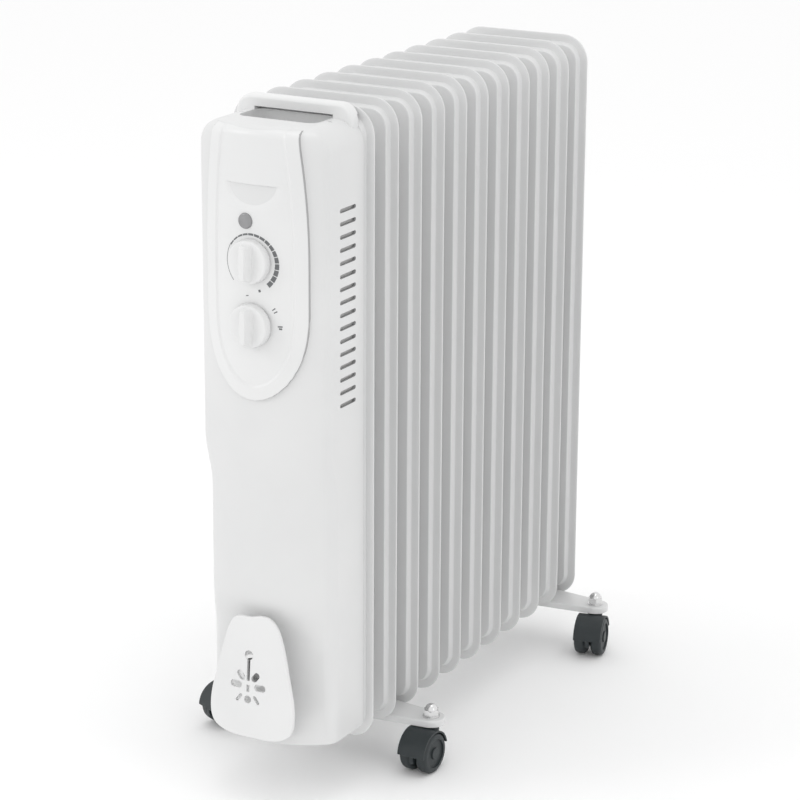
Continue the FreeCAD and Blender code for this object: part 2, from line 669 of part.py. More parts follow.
# ---------------------------------------------------------------- controls
def knob(z):
    """Round skirt with a raised upright grip; a D-shaped bore takes the shaft."""
    back = FASCIA_FACE - KNOB_STANDOFF
    skirt = Part.makeCone(KNOB_RADIUS, KNOB_RADIUS - 1.6, KNOB_SKIRT, V(0, back, z), V(0, -1, 0))
    rim = [e for e in skirt.Edges if abs(e.BoundBox.YMin - (back - KNOB_SKIRT)) < 1e-6]
    skirt = skirt.makeFillet(1.2, [e for e in rim if e.BoundBox.YLength < 1e-6])
    face = back - KNOB_SKIRT
    half = KNOB_GRIP_WIDTH / 2
    reach = KNOB_RADIUS - 2.6
    grip = slot_prism(half, z - reach, z + reach, 0, face - KNOB_GRIP, face + 1)
    ends = [e for e in grip.Edges if e.BoundBox.YMax < face - KNOB_GRIP + 1e-6]
    grip = grip.makeFillet(2.2, ends)
    body = fuse([skirt, grip])
    bore = shaft_shape(z, SHAFT_RADIUS + RUNNING_FIT, SHAFT_FLAT - RUNNING_FIT,
                       SHAFT_TIP - RUNNING_FIT, back + 1)
    return body.cut(bore)


def shaft_shape(z, radius, flat, front, rear):
    shaft = rod_y(radius, 0, z, front, rear)
    return shaft.cut(box(-radius, radius, front - 1, rear + 1, z + radius - flat, z + radius + 1))


def control_body(z, half_width):
    """Moulded switch body with a threaded bush in front and blade terminals behind."""
    front = CONTROL_FRONT + BUSH_LENGTH
    depth = SWITCH_DEPTH
    block = box(-half_width, half_width, front, front + depth, z - SWITCH_HALF, z + SWITCH_HALF)
    block = block.makeFillet(2.0, [e for e in block.Edges if abs(e.tangentAt(0).y) > 0.99])
    bush = rod_y(BUSH_RADIUS, 0, z, CONTROL_FRONT + 0.5, front + 1)
    blades = []
    half = BLADE_THICKNESS / 2
    for x in (-half_width + 6, 0, half_width - 6):
        blades.append(box(x - BLADE_HALF, x + BLADE_HALF, front + depth - 1, front + depth + 7,
                          z - half, z + half))
    bore = rod_y(SHAFT_RADIUS + RUNNING_FIT, 0, z, CONTROL_FRONT - 1, front + 10)
    return fuse([block, bush] + blades).cut(bore)


def shaft_for(z):
    front = CONTROL_FRONT + BUSH_LENGTH
    journal = rod_y(SHAFT_RADIUS, 0, z, CONTROL_FRONT, front + 9)
    flatted = shaft_shape(z, SHAFT_RADIUS, SHAFT_FLAT, SHAFT_TIP, CONTROL_FRONT + 0.5)
    return fuse([journal, flatted])


def control_bracket():
    """Pressed bridge inside the housing that carries both switches by their bushes."""
    y = CONTROL_FRONT + BUSH_LENGTH
    low = SELECTOR_Z - SWITCH_HALF - 7
    high = THERMOSTAT_Z + SWITCH_HALF + 7
    web = box(-12, 12, y - 1.5, y, low, high)
    cuts = [rod_y(BUSH_RADIUS + 0.1, 0, z, y - 3, y + 1) for z in (THERMOSTAT_Z, SELECTOR_Z)]
    feet = []
    for z0, z1 in ((low, low + 1.5), (high - 1.5, high)):
        feet.append(box(-12, 12, y - 1.5, BACK_PLATE_FRONT, z0, z1))
    return fuse([web.cut(group(cuts))] + feet)


def indicator_lens():
    """Domed lens with a short skirt that snaps through the housing wall."""
    seat = -FRONT_UPPER
    cap = rod_y(LENS_RADIUS, LENS_X, LENS_Z, seat - FASCIA_SKIN - LENS_PROUD, seat)
    edge = [e for e in cap.Edges if e.BoundBox.YMax < seat - FASCIA_SKIN]
    cap = cap.makeFillet(1.4, edge)
    skirt = rod_y(LENS_RADIUS - 1.6, LENS_X, LENS_Z, seat - 1, seat + 7)
    pocket = rod_y(LAMP_RADIUS + 0.2, LENS_X, LENS_Z, seat + 0.5, seat + 8)
    return fuse([cap, skirt]).cut(pocket)


def indicator_lamp():
    seat = -FRONT_UPPER
    bulb = rod_y(LAMP_RADIUS, LENS_X, LENS_Z, seat + 2, seat + 22)
    leads = [rod_y(0.6, LENS_X + x, LENS_Z, seat + 21, seat + 30) for x in (-1.5, 1.5)]
    return fuse([bulb] + leads)


# ---------------------------------------------------------------- handle and cord plate
def carry_handle(outer):
    """Arched grip bar on two feet that stand on the housing's shoulders."""
    y0 = HANDLE_FRONT
    top = HANDLE_TOP
    low = HOUSING_TOP - SHOULDER_RADIUS
    round_out = HANDLE_CORNER
    k = 1 - math.sqrt(0.5)
    h = HANDLE_HALF
    edges = [
        line(V(-h, y0, low), V(-h, y0, top - round_out)),
        arc(V(-h, y0, top - round_out), V(-h + k * round_out, y0, top - k * round_out),
            V(-h + round_out, y0, top)),
        line(V(-h + round_out, y0, top), V(h - round_out, y0, top)),
        arc(V(h - round_out, y0, top), V(h - k * round_out, y0, top - k * round_out),
            V(h, y0, top - round_out)),
        line(V(h, y0, top - round_out), V(h, y0, low)),
        line(V(h, y0, low), V(-h, y0, low)),
    ]
    solid = Part.Face(Part.Wire(edges)).extrude(V(0, HANDLE_DEPTH, 0))
    long_edges = [e for e in solid.Edges if e.BoundBox.ZMax > top - round_out + 0.1
                  and e.BoundBox.YLength < 1e-6]
    solid = solid.makeFillet(HANDLE_ROUND, long_edges)
    opening = box(-RECESS_HALF, RECESS_HALF, y0 - 1, HANDLE_REAR + 1, low - 1, top - HANDLE_BAR)
    fin_room = box(-h - 1, h + 1, HOUSING_REAR, HANDLE_REAR + 1, low - 1, FIN_HEIGHT - FLANGE + 1)
    solid = solid.cut(opening).cut(fin_room).cut(outer)
    pilots = [rod_z(SCREW_RADIUS, x, HANDLE_SCREW_Y, low, HOUSING_TOP + HANDLE_SCREW_BITE)
              for x in (-HANDLE_SCREW_X, HANDLE_SCREW_X)]
    return solid.cut(group(pilots))


def cord_plate_outline(y):
    """Rounded shield, wider towards its foot."""
    right = [V(CORD_PLATE_HALF_TOP, y, CORD_PLATE_TOP - 3),
             V(CORD_PLATE_HALF_TOP + 9, y, CORD_PLATE_TOP - 20),
             V(CORD_PLATE_HALF - 6, y, CORD_PLATE_TOP - 52),
             V(CORD_PLATE_HALF, y, CORD_PLATE_WIDEST),
             V(CORD_PLATE_HALF - 4, y, CORD_PLATE_BOTTOM + 9),
             V(CORD_PLATE_HALF - 18, y, CORD_PLATE_BOTTOM + 1.5)]
    points = [V(0, y, CORD_PLATE_TOP)] + right + [V(0, y, CORD_PLATE_BOTTOM)]
    points += [mirrored(p) for p in reversed(right)]
    curve = Part.BSplineCurve()
    curve.interpolate(points, PeriodicFlag=True)
    return Part.Wire([curve.toShape()])


def rosette_cuts(y0, y1):
    """Vent rosette: a keyhole above, a hub below it and three pairs of petals."""
    cuts = [rod_y(4.4, 0, 29, y0, y1), slot_prism(1.6, 5, 29, 0, y0, y1)]
    cuts.append(rod_y(3.6, 0, -12, y0, y1))
    cuts.append(box(-1.5, 1.5, y0, y1, -5, 1.5))
    for side in (-1, 1):
        for angle, near, far, wide in ((38, 7, 17, 3.0), (88, 6.5, 18, 3.2), (142, 10, 19, 1.5)):
            petal = slot_prism(wide, near, far, 0, y0, y1)
            petal.rotate(V(0, 0, 0), V(0, 1, 0), side * angle)
            cuts.append(petal)
    for cut in cuts:
        cut.translate(V(ROSETTE_X, 0, ROSETTE_Z))
    return cuts


def cord_wrap_plate(outer):
    front = -CORD_PLATE_FRONT
    plate = Part.Face(cord_plate_outline(front)).extrude(V(0, CORD_PLATE_THICK, 0))
    plate = plate.makeFillet(1.0, [e for e in plate.Edges if e.BoundBox.YMax < front + 1e-6])
    plate = plate.cut(group(rosette_cuts(front - 5, front + CORD_PLATE_THICK + 5)))
    middle = (CORD_PLATE_TOP + CORD_PLATE_BOTTOM) / 2
    plate.rotate(V(0, front, middle), V(1, 0, 0), -CORD_PLATE_LEAN)
    neck = rod_y(NECK_RADIUS, 0, NECK_Z, front + 2.0, -FRONT_NECK + 12)
    hollow = rod_y(NECK_RADIUS - 3, 0, NECK_Z, front - 5, front + 13)
    neck = neck.cut(hollow).cut(outer)
    pilots = [rod_y(SCREW_RADIUS, 0, z, front + 13, -FRONT_NECK + 12) for z in cord_screw_heights()]
    keep = box(-60, 60, front - 5, 0, 0, HOUSING_TOP)
    return fuse([plate, neck.common(keep)]).cut(group(pilots))


# ---------------------------------------------------------------- inside the housing
def back_plate():
    """Sheet steel plate on the first fin: it carries the housing and the controls."""
    wall = HOUSING_WALL + BACK_PLATE_GAP
    half = HOUSING_HALF - wall
    low = HOUSING_BOTTOM + wall
    high = HOUSING_TOP - SHOULDER_RADIUS - 14
    sheet = box(-half, half, BACK_PLATE_FRONT, HOUSING_REAR, low, high)
    foot = box(-half + 4, half - 4, -30, BACK_PLATE_FRONT + 0.1, low, low + 2)
    posts = []
    clip_front = CLIP_Y - CLIP_THICKNESS / 2
    clip_back = CLIP_Y + CLIP_THICKNESS / 2
    top = HOUSING_TOP - 0.6
    shelf = high + 6
    for x in (-CLIP_X, CLIP_X):
        x0 = x - CLIP_HALF
        x1 = x + CLIP_HALF
        posts.append(box(x0, x1, BACK_PLATE_FRONT, HOUSING_REAR, high - 1, shelf))
        posts.append(box(x0, x1, clip_front, HOUSING_REAR, shelf - CLIP_THICKNESS, shelf))
        posts.append(box(x0, x1, clip_front, clip_back, shelf - CLIP_THICKNESS, top))
    cuts = [rod_y(FLANGE_RADIUS + 2, 0, LOWER_HEADER_Z, -40, 1)]
    cuts.append(rod_z(GLAND_RADIUS + 3, GLAND_X, GLAND_Y, low - 1, low + 3))
    for x, y in bottom_screw_places():
        cuts.append(rod_z(SCREW_RADIUS, x, y, low - 1, low + 3))
    return fuse([sheet, foot] + posts).cut(group(cuts))


def cord_gland():
    """Flanged bush in the housing's floor that the mains cord passes through."""
    z = HOUSING_BOTTOM
    flange = rod_z(GLAND_RADIUS + 3, GLAND_X, GLAND_Y, z - 2.5, z)
    body = rod_z(GLAND_RADIUS, GLAND_X, GLAND_Y, z - 1, z - 2.5 + GLAND_LENGTH)
    bore = rod_z(CORD_BORE_RADIUS, GLAND_X, GLAND_Y, z - 4, z + GLAND_LENGTH)
    return fuse([flange, body]).cut(bore)


def terminal_block():
    y1 = BACK_PLATE_FRONT
    block = box(-21, 21, y1 - 15, y1, TERMINAL_Z - 9, TERMINAL_Z + 9)
    cuts = []
    for x in (-14, 0, 14):
        cuts.append(rod_y(3.0, x, TERMINAL_Z, y1 - 16, y1 - 9))
        cuts.append(rod_z(1.6, x, y1 - 6, TERMINAL_Z - 10, TERMINAL_Z - 3))
    return block.cut(group(cuts))


def thermal_cutout():
    """Disc thermostat with two blades, clamped flat to the back plate."""
    z = CUTOUT_Z
    y1 = BACK_PLATE_FRONT
    half = BLADE_THICKNESS / 2
    foot = box(-15, 15, y1 - 1.2, y1, z - 5, z + 5)
    disc = rod_y(9, 0, z, y1 - 9, y1 - 1)
    blades = [box(x - BLADE_HALF, x + BLADE_HALF, y1 - 15, y1 - 8.5, z - half, z + half)
              for x in (-5, 5)]
    return fuse([foot, disc] + blades)


def wire(points):
    """Insulated wire of round section: straight runs with ball corners."""
    pieces = []
    for start, end in zip(points, points[1:]):
        pieces.append(rod(WIRE_RADIUS, start, end))
    for corner in points[1:-1]:
        pieces.append(Part.makeSphere(WIRE_RADIUS, corner))
    return fuse(pieces)


def wiring_loom():
    """Wires between terminal block, selector, thermostat, cut-out, lamp and element."""
    switch_y = CONTROL_FRONT + BUSH_LENGTH + 12
    block_y = BACK_PLATE_FRONT - 11
    block_top = TERMINAL_Z + 9
    selector_low = SELECTOR_Z - SWITCH_HALF
    pin_z = LOWER_HEADER_Z + ELEMENT_ROW
    wires = []
    for x in (-14, 14):
        wires.append(wire([V(x, block_y, block_top), V(x, block_y, block_top + 30),
                           V(x, switch_y, selector_low - 70), V(x, switch_y, selector_low)]))
    for x in (-10, 10):
        wires.append(wire([V(x, switch_y, SELECTOR_Z + SWITCH_HALF),
                           V(x, switch_y, THERMOSTAT_Z - SWITCH_HALF)]))
    for x in (-ELEMENT_LEG, ELEMENT_LEG):
        bend_y = ELEMENT_PIN_FRONT - 8
        wires.append(wire([V(x, ELEMENT_PIN_FRONT, pin_z), V(x, bend_y, pin_z),
                           V(x, bend_y, pin_z + 60), V(x, block_y, TERMINAL_Z - 30),
                           V(x, block_y, TERMINAL_Z - 9)]))
    return group(wires)


# ---------------------------------------------------------------- feet
def foot_bracket_plan(z):
    """Bracket outline seen from above: broad under two fins, narrow at the casters."""
    root = BRACKET_ROOT_HALF
    tip = BRACKET_TIP_HALF
    x1 = BRACKET_ROOT_X
    x2 = CASTER_X
    x3 = BRACKET_TIP_X
    edges = [
        line(V(-x1, -root, z), V(x1, -root, z)),
        line(V(x1, -root, z), V(x2, -tip, z)),
        arc(V(x2, -tip, z), V(x3, 0, z), V(x2, tip, z)),
        line(V(x2, tip, z), V(x1, root, z)),
        line(V(x1, root, z), V(-x1, root, z)),
        line(V(-x1, root, z), V(-x2, tip, z)),
        arc(V(-x2, tip, z), V(-x3, 0, z), V(-x2, -tip, z)),
        line(V(-x2, -tip, z), V(-x1, -root, z)),
    ]
    return Part.Wire(edges)


def ubolt_leg_x():
    return HEADER_RADIUS + UBOLT_CLEARANCE + UBOLT_RADIUS


def foot_bracket(shift, y):
    """Stamped channel: flat top with a turned-down rim all round."""
    plan = foot_bracket_plan(0)
    block = Part.Face(plan).extrude(V(0, 0, -BRACKET_FLANGE))
    inner = plan.makeOffset2D(-BRACKET_THICKNESS)
    hollow = Part.Face(inner).extrude(V(0, 0, -BRACKET_FLANGE))
    hollow.translate(V(0, 0, -BRACKET_THICKNESS))
    block = block.makeFillet(1.2, [e for e in block.Edges if e.BoundBox.ZMin > -1e-6])
    bracket = block.cut(hollow)
    cuts = [rod_z(STEM_RADIUS + RUNNING_FIT, x, 0, -5, 1) for x in (-CASTER_X, CASTER_X)]
    leg = ubolt_leg_x()
    wide = UBOLT_RADIUS + 0.3
    for x in (-leg, leg):
        near = x - BRACKET_SLOT_HALF
        far = x + BRACKET_SLOT_HALF
        cuts += [rod_z(wide, near, 0, -5, 1), rod_z(wide, far, 0, -5, 1)]
        cuts.append(box(near, far, -wide, wide, -5, 1))
    bracket = bracket.cut(group(cuts))
    bracket.translate(V(shift, y, BRACKET_RISE))
    return bracket


def u_bolt(y):
    """Bent rod hung over the lower header, with both legs through the bracket."""
    leg = ubolt_leg_x()
    low = BRACKET_UNDER - WING_NUT_HEIGHT - 4
    top = LOWER_HEADER_Z
    path = Part.Wire([
        line(V(-leg, y, low), V(-leg, y, top)),
        arc(V(-leg, y, top), V(0, y, top + leg), V(leg, y, top)),
        line(V(leg, y, top), V(leg, y, low)),
    ])
    section = Part.Wire(Part.makeCircle(UBOLT_RADIUS, V(-leg, y, low), V(0, 0, 1)))
    return path.makePipeShell([section], True, True)


def wing_nut(x, y):
    top = BRACKET_UNDER
    hub = Part.makeCone(6.0, 4.4, WING_NUT_HEIGHT, V(0, 0, 0), V(0, 0, -1))
    wings = []
    for side in (-1, 1):
        wing = slot_prism(4.2, -WING_NUT_HEIGHT - 2, 0, side * 8.0, -1.1, 1.1)
        wing = wing.cut(box(-15, 15, -3, 3, -0.4, 5))
        wings.append(wing)
    nut = fuse([hub] + wings)
    nut = nut.cut(rod_z(UBOLT_RADIUS + RUNNING_FIT, 0, 0, -WING_NUT_HEIGHT - 3, 1))
    nut.rotate(V(0, 0, 0), V(0, 0, 1), 25)
    nut.translate(V(x, y, top))
    return nut


# ---------------------------------------------------------------- casters
def cap_nut(x, y):
    """Domed nut that closes the top of a caster stem."""
    seat = V(0, 0, CAP_NUT_WASHER)
    hexagon = hexagon_prism(CAP_NUT_RADIUS, seat, V(0, 0, CAP_NUT_HEX))
    washer = Part.makeCylinder(CAP_NUT_RADIUS + 0.5, CAP_NUT_WASHER)
    crown = V(0, 0, CAP_NUT_HEX + CAP_NUT_WASHER / 2)
    dome = Part.makeSphere(CAP_NUT_DOME, crown, V(0, 0, 1), 0, 90, 360)
    nut = fuse([washer, hexagon, dome])
    nut = nut.cut(rod_z(STEM_RADIUS + RUNNING_FIT, 0, 0, -1, STEM_ABOVE + 0.4))
    nut.translate(V(x, y, BRACKET_RISE))
    return nut


def caster_stem(x, y):
    collar = rod_z(STEM_COLLAR_RADIUS, x, y, STEM_COLLAR_Z, BRACKET_UNDER)
    pin = rod_z(STEM_RADIUS, x, y, STEM_BOTTOM, BRACKET_RISE + STEM_ABOVE)
    return fuse([collar, pin])


def hood():
    """Caster hood: middle web, a curved cover over both wheels and the swivel boss.

    It is drawn round the axle, with the swivel boss ahead of it along +Y.
    """
    cover_in = WHEEL_RADIUS + HOOD_GAP
    cover_out = cover_in + HOOD_WALL
    half = WHEEL_GAP / 2 + WHEEL_WIDTH - 0.4
    web_half = WHEEL_GAP / 2 - SIDE_GAP
    ring = rod(cover_out, V(-half, 0, 0), V(half, 0, 0))
    ring = ring.cut(rod(cover_in, V(-half - 1, 0, 0), V(half + 1, 0, 0)))
    keep = box(-half, half, -cover_out - 1, cover_out + 1, 3.0, cover_out + 1)
    keep.rotate(V(0, 0, 0), V(1, 0, 0), 6)
    cover = ring.common(keep)
    web = rod(cover_in + 0.5, V(-web_half, 0, 0), V(web_half, 0, 0))
    web = web.cut(box(-9, 9, -40, 40, -40, -WHEEL_RADIUS / 3))
    top = HOOD_TOP - AXLE_Z
    low = STEM_BOTTOM - AXLE_Z - SIDE_GAP
    boss = rod_z(HOOD_BOSS_RADIUS, 0, CASTER_TRAIL, low - 1.2, top)
    tread = []
    for side in (-1, 1):
        x0 = side * (web_half - 0.01)
        x1 = side * (half + 3)
        tread.append(rod(cover_in - 0.2, V(x0, 0, 0), V(x1, 0, 0)))
    boss = boss.cut(group(tread))
    body = fuse([cover, web, boss])
    bore = rod_z(STEM_RADIUS + RUNNING_FIT, 0, CASTER_TRAIL, low, top + 1)
    axle = rod(AXLE_RADIUS, V(-9, 0, 0), V(9, 0, 0))
    return body.cut(bore).cut(axle)


def wheel(side):
    """Twin caster wheel with a round-shouldered tread, hub boss and dished face."""
    inner = WHEEL_GAP / 2
    outer = inner + WHEEL_WIDTH
    disc = rod(WHEEL_RADIUS, V(inner, 0, 0), V(outer, 0, 0))
    shoulders = [e for e in disc.Edges if abs(e.BoundBox.XMax - outer) < 1e-6
                 and e.BoundBox.XLength < 1e-6]
    disc = disc.makeFillet(3.6, shoulders)
    disc = disc.makeFillet(4.5, [e for e in disc.Edges if abs(e.BoundBox.XMax - inner) < 1e-6
                                 and e.BoundBox.XLength < 1e-6])
    dish = tube_x(WHEEL_RADIUS - 5.5, 5.5, outer - 1.6, outer + 1)
    well = tube_x(WHEEL_RADIUS - 6.5, 5.0, inner - 1, inner + 3.0)
    bore = rod(AXLE_RADIUS + RUNNING_FIT, V(inner - 1, 0, 0), V(outer - 1.5, 0, 0))
    result = disc.cut(dish).cut(well).cut(bore)
    if side < 0:
        result.rotate(V(0, 0, 0), V(0, 0, 1), 180)
    return result


def tube_x(outer, inner, x0, x1):
    return rod(outer, V(x0, 0, 0), V(x1, 0, 0)).cut(rod(inner, V(x0, 0, 0), V(x1, 0, 0)))


def axle():
    reach = WHEEL_GAP / 2 + WHEEL_WIDTH - 1.8
    return rod(AXLE_RADIUS, V(-reach, 0, 0), V(reach, 0, 0))


# Each caster: name, place of its stem, and the swivel angle it stands at.
# At angle 0 the wheels trail to the front; a positive angle turns them to the right.
CASTERS = [
    ("front_left", FRONT_BRACKET_SHIFT - CASTER_X, FRONT_FEET_Y, -25.0),
    ("front_right", FRONT_BRACKET_SHIFT + CASTER_X, FRONT_FEET_Y, -3.0),
    ("rear_left", -CASTER_X, REAR_FEET_Y, 14.0),
    ("rear_right", CASTER_X, REAR_FEET_Y, 12.0),
]


def placed(shape, x, y, angle):
    """Carry a caster piece from its own axle frame to its foot."""
    copy = shape.copy()
    copy.translate(V(0, -CASTER_TRAIL, AXLE_Z))
    copy.rotate(V(0, 0, 0), V(0, 0, 1), angle)
    copy.translate(V(x, y, 0))
    return copy


def save_casters():
    pieces = {
        "caster_hood": hood(),
        "caster_axle": axle(),
        "caster_wheel_left": wheel(-1),
        "caster_wheel_right": wheel(1),
    }
    for name, x, y, angle in CASTERS:
        for piece, shape in pieces.items():
            save(name + "_" + piece, placed(shape, x, y, angle))


# ---------------------------------------------------------------- screws
def housing_screws():
    head_z = HOUSING_BOTTOM
    return group([screw(9, V(x, y, head_z), V(0, 0, 1)) for x, y in bottom_screw_places()])


def handle_screws():
    """Screws driven up from inside the housing into the handle's feet."""
    seat = handle_screw_seat()
    length = HOUSING_TOP + HANDLE_SCREW_BITE - seat
    return group([screw(length, V(x, HANDLE_SCREW_Y, seat), V(0, 0, 1))
                  for x in (-HANDLE_SCREW_X, HANDLE_SCREW_X)])


def cord_plate_screws():
    """Screws driven forwards from inside the housing into the cord plate's neck."""
    seat = V(0, CORD_SCREW_SEAT, 0)
    return group([screw(11, seat + V(0, 0, z), V(0, -1, 0)) for z in cord_screw_heights()])


# ---------------------------------------------------------------- write every piece
def main():
    blank = fin_blank()
    for number in range(1, FIN_COUNT + 1):
        save("fin_%02d" % number, make_fin(number, blank))
    save("upper_header_collars", group(header_collars(UPPER_HEADER_Z)))
    save("lower_header_collars", group([element_neck()] + header_collars(LOWER_HEADER_Z)))
    save("oil_filler_plug", oil_filler_plug())
    save("heating_element", heating_element())
    save("element_flange", element_flange())
    save("element_gasket", element_gasket())
    outer = housing_body()
    save("housing_shell", housing_shell(outer))
    save("control_fascia", control_fascia(outer))
    save("carry_handle", carry_handle(outer))
    save("cord_wrap_plate", cord_wrap_plate(outer))
    save("back_plate", back_plate())
    save("control_bracket", control_bracket())
    save("thermostat_body", control_body(THERMOSTAT_Z, THERMOSTAT_BODY_HALF))
    save("selector_body", control_body(SELECTOR_Z, SELECTOR_BODY_HALF))
    save("thermostat_shaft", shaft_for(THERMOSTAT_Z))
    save("selector_shaft", shaft_for(SELECTOR_Z))
    save("thermostat_knob", knob(THERMOSTAT_Z))
    save("selector_knob", knob(SELECTOR_Z))
    save("indicator_lens", indicator_lens())
    save("indicator_lamp", indicator_lamp())
    save("cord_gland", cord_gland())
    save("terminal_block", terminal_block())
    save("thermal_cutout", thermal_cutout())
    save("wiring_loom", wiring_loom())
    save("housing_screws", housing_screws())
    save("handle_screws", handle_screws())
    save("cord_plate_screws", cord_plate_screws())
    save("front_foot_bracket", foot_bracket(FRONT_BRACKET_SHIFT, FRONT_FEET_Y))
    save("rear_foot_bracket", foot_bracket(0, REAR_FEET_Y))
    feet = (FRONT_FEET_Y, REAR_FEET_Y)
    legs = (-ubolt_leg_x(), ubolt_leg_x())
    save("foot_u_bolts", group([u_bolt(y) for y in feet]))
    save("foot_wing_nuts", group([wing_nut(x, y) for y in feet for x in legs]))
    save("caster_stems", group([caster_stem(x, y) for _, x, y, _ in CASTERS]))
    save("caster_cap_nuts", group([cap_nut(x, y) for _, x, y, _ in CASTERS]))
    save_casters()


main()
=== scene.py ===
import json
import math
import bmesh
import bpy
from mathutils import Matrix, Vector
from mathutils.geometry import delaunay_2d_cdt


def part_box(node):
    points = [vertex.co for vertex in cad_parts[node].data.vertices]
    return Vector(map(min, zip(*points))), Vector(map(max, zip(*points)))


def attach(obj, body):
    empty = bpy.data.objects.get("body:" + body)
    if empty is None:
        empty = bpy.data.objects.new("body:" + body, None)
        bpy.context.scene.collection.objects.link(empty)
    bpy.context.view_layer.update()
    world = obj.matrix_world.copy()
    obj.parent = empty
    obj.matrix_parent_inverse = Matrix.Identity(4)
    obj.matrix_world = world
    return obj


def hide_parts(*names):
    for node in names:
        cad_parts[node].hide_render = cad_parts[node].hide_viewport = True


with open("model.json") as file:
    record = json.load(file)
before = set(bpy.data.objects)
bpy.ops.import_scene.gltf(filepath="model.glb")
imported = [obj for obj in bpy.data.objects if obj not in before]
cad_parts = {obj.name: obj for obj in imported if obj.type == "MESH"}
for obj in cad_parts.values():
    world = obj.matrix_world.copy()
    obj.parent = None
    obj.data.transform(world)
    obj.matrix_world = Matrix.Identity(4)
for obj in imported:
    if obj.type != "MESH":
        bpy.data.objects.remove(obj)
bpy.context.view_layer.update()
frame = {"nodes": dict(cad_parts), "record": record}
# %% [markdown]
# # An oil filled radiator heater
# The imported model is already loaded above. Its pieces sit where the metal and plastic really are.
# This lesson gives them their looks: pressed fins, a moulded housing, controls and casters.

FIN_COUNT = 11
FIN_PITCH = 42.0
FIN_WIDTH = 142.0
FIN_HEIGHT = 580.0
BULGE = 6.0
STACK = (FIN_COUNT - 1) * FIN_PITCH
FIN_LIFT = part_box("fin_01")[0].z * 1000


def at(x, y, z):
    """Millimetres from the foot of the first fin to metres in the object's frame."""
    return Vector((x, y - STACK / 2, z + FIN_LIFT)) / 1000


# %% [markdown]
# ## Camera, floor and light
# The object stands on a plain pale floor that runs back to a pale surround. A long lens keeps
# the uprights parallel, as in a catalogue shot. Large soft lamps make the shading gentle, and
# the surround's own light fills the gaps between the fins.

# %% Camera
scene = bpy.context.scene


def looking(azimuth, elevation, roll):
    """Camera matrix that looks down on the object from its front and right."""
    a, e, r = (math.radians(v) for v in (azimuth, elevation, roll))
    ahead = Vector((-math.sin(a) * math.cos(e), math.cos(a) * math.cos(e), -math.sin(e)))
    right = Vector((math.cos(a), math.sin(a), 0))
    up = right.cross(ahead)
    across = right * math.cos(r) + up * math.sin(r)
    upward = -right * math.sin(r) + up * math.cos(r)
    return Matrix((across, upward, -ahead)).transposed().to_4x4()


camera_data = bpy.data.cameras.new("camera")
camera_data.lens = 126
camera_data.sensor_width = 36
camera = bpy.data.objects.new("camera", camera_data)
scene.collection.objects.link(camera)
camera.matrix_world = Matrix.Translation(at(1223.7, -2034.7, 1028.9)) @ looking(28.98, 16.84, 0.31)
scene.camera = camera
scene.view_settings.view_transform = "Standard"
print("camera stands at", [round(v, 3) for v in camera.location])


# %% Lamps and surround
def soft_lamp(name, place, aim, size, power):
    data = bpy.data.lights.new(name, "AREA")
    data.shape = "DISK"
    data.size = size
    data.energy = power
    lamp = bpy.data.objects.new(name, data)
    scene.collection.objects.link(lamp)
    lamp.location = place
    lamp.rotation_euler = (Vector(aim) - Vector(place)).to_track_quat("-Z", "Y").to_euler()
    return lamp


soft_lamp("lamp_key", (-2.0, -2.1, 1.7), (0, -0.2, 0.3), 1.0, 11)
soft_lamp("lamp_top", (0.2, -0.3, 2.4), (0, 0, 0.3), 1.2, 5)
soft_lamp("lamp_right", (2.4, -0.9, 1.0), (0, 0, 0.3), 1.2, 2)
surround = bpy.data.worlds.new("surround")
scene.world = surround
surround.use_nodes = True
surround.node_tree.nodes["Background"].inputs[0].default_value = (1, 1, 1, 1)
surround.node_tree.nodes["Background"].inputs[1].default_value = 1.0

# %% [markdown]
# ## A small language for finishes
# A finish is a tree of nodes. Writing it as sums is easier to read than wiring, so one class
# wraps a socket and overloads the signs, and one method makes any node with its settings and
# inputs. Only things that vary over the surface are wired; fixed numbers go on the sockets.

# %% The socket class and the finish class
SIGNS = {"add": "ADD", "sub": "SUBTRACT", "mul": "MULTIPLY", "truediv": "DIVIDE", "pow": "POWER"}


class Value:
    """A number on a socket: + - * / ** on it add Math nodes."""

    def __init__(self, finish, socket):
        self.finish = finish
        self.socket = socket

    def clamp(self):
        return self.finish.node("ShaderNodeClamp", {}, {"Value": self})


def sign(operation, turned):
    def method(self, other):
        pair = (other, self) if turned else (self, other)
        return self.finish.node("ShaderNodeMath", {"operation": operation}, dict(enumerate(pair)))
    return method


for word, operation in SIGNS.items():
    setattr(Value, "__%s__" % word, sign(operation, False))
    setattr(Value, "__r%s__" % word, sign(operation, True))


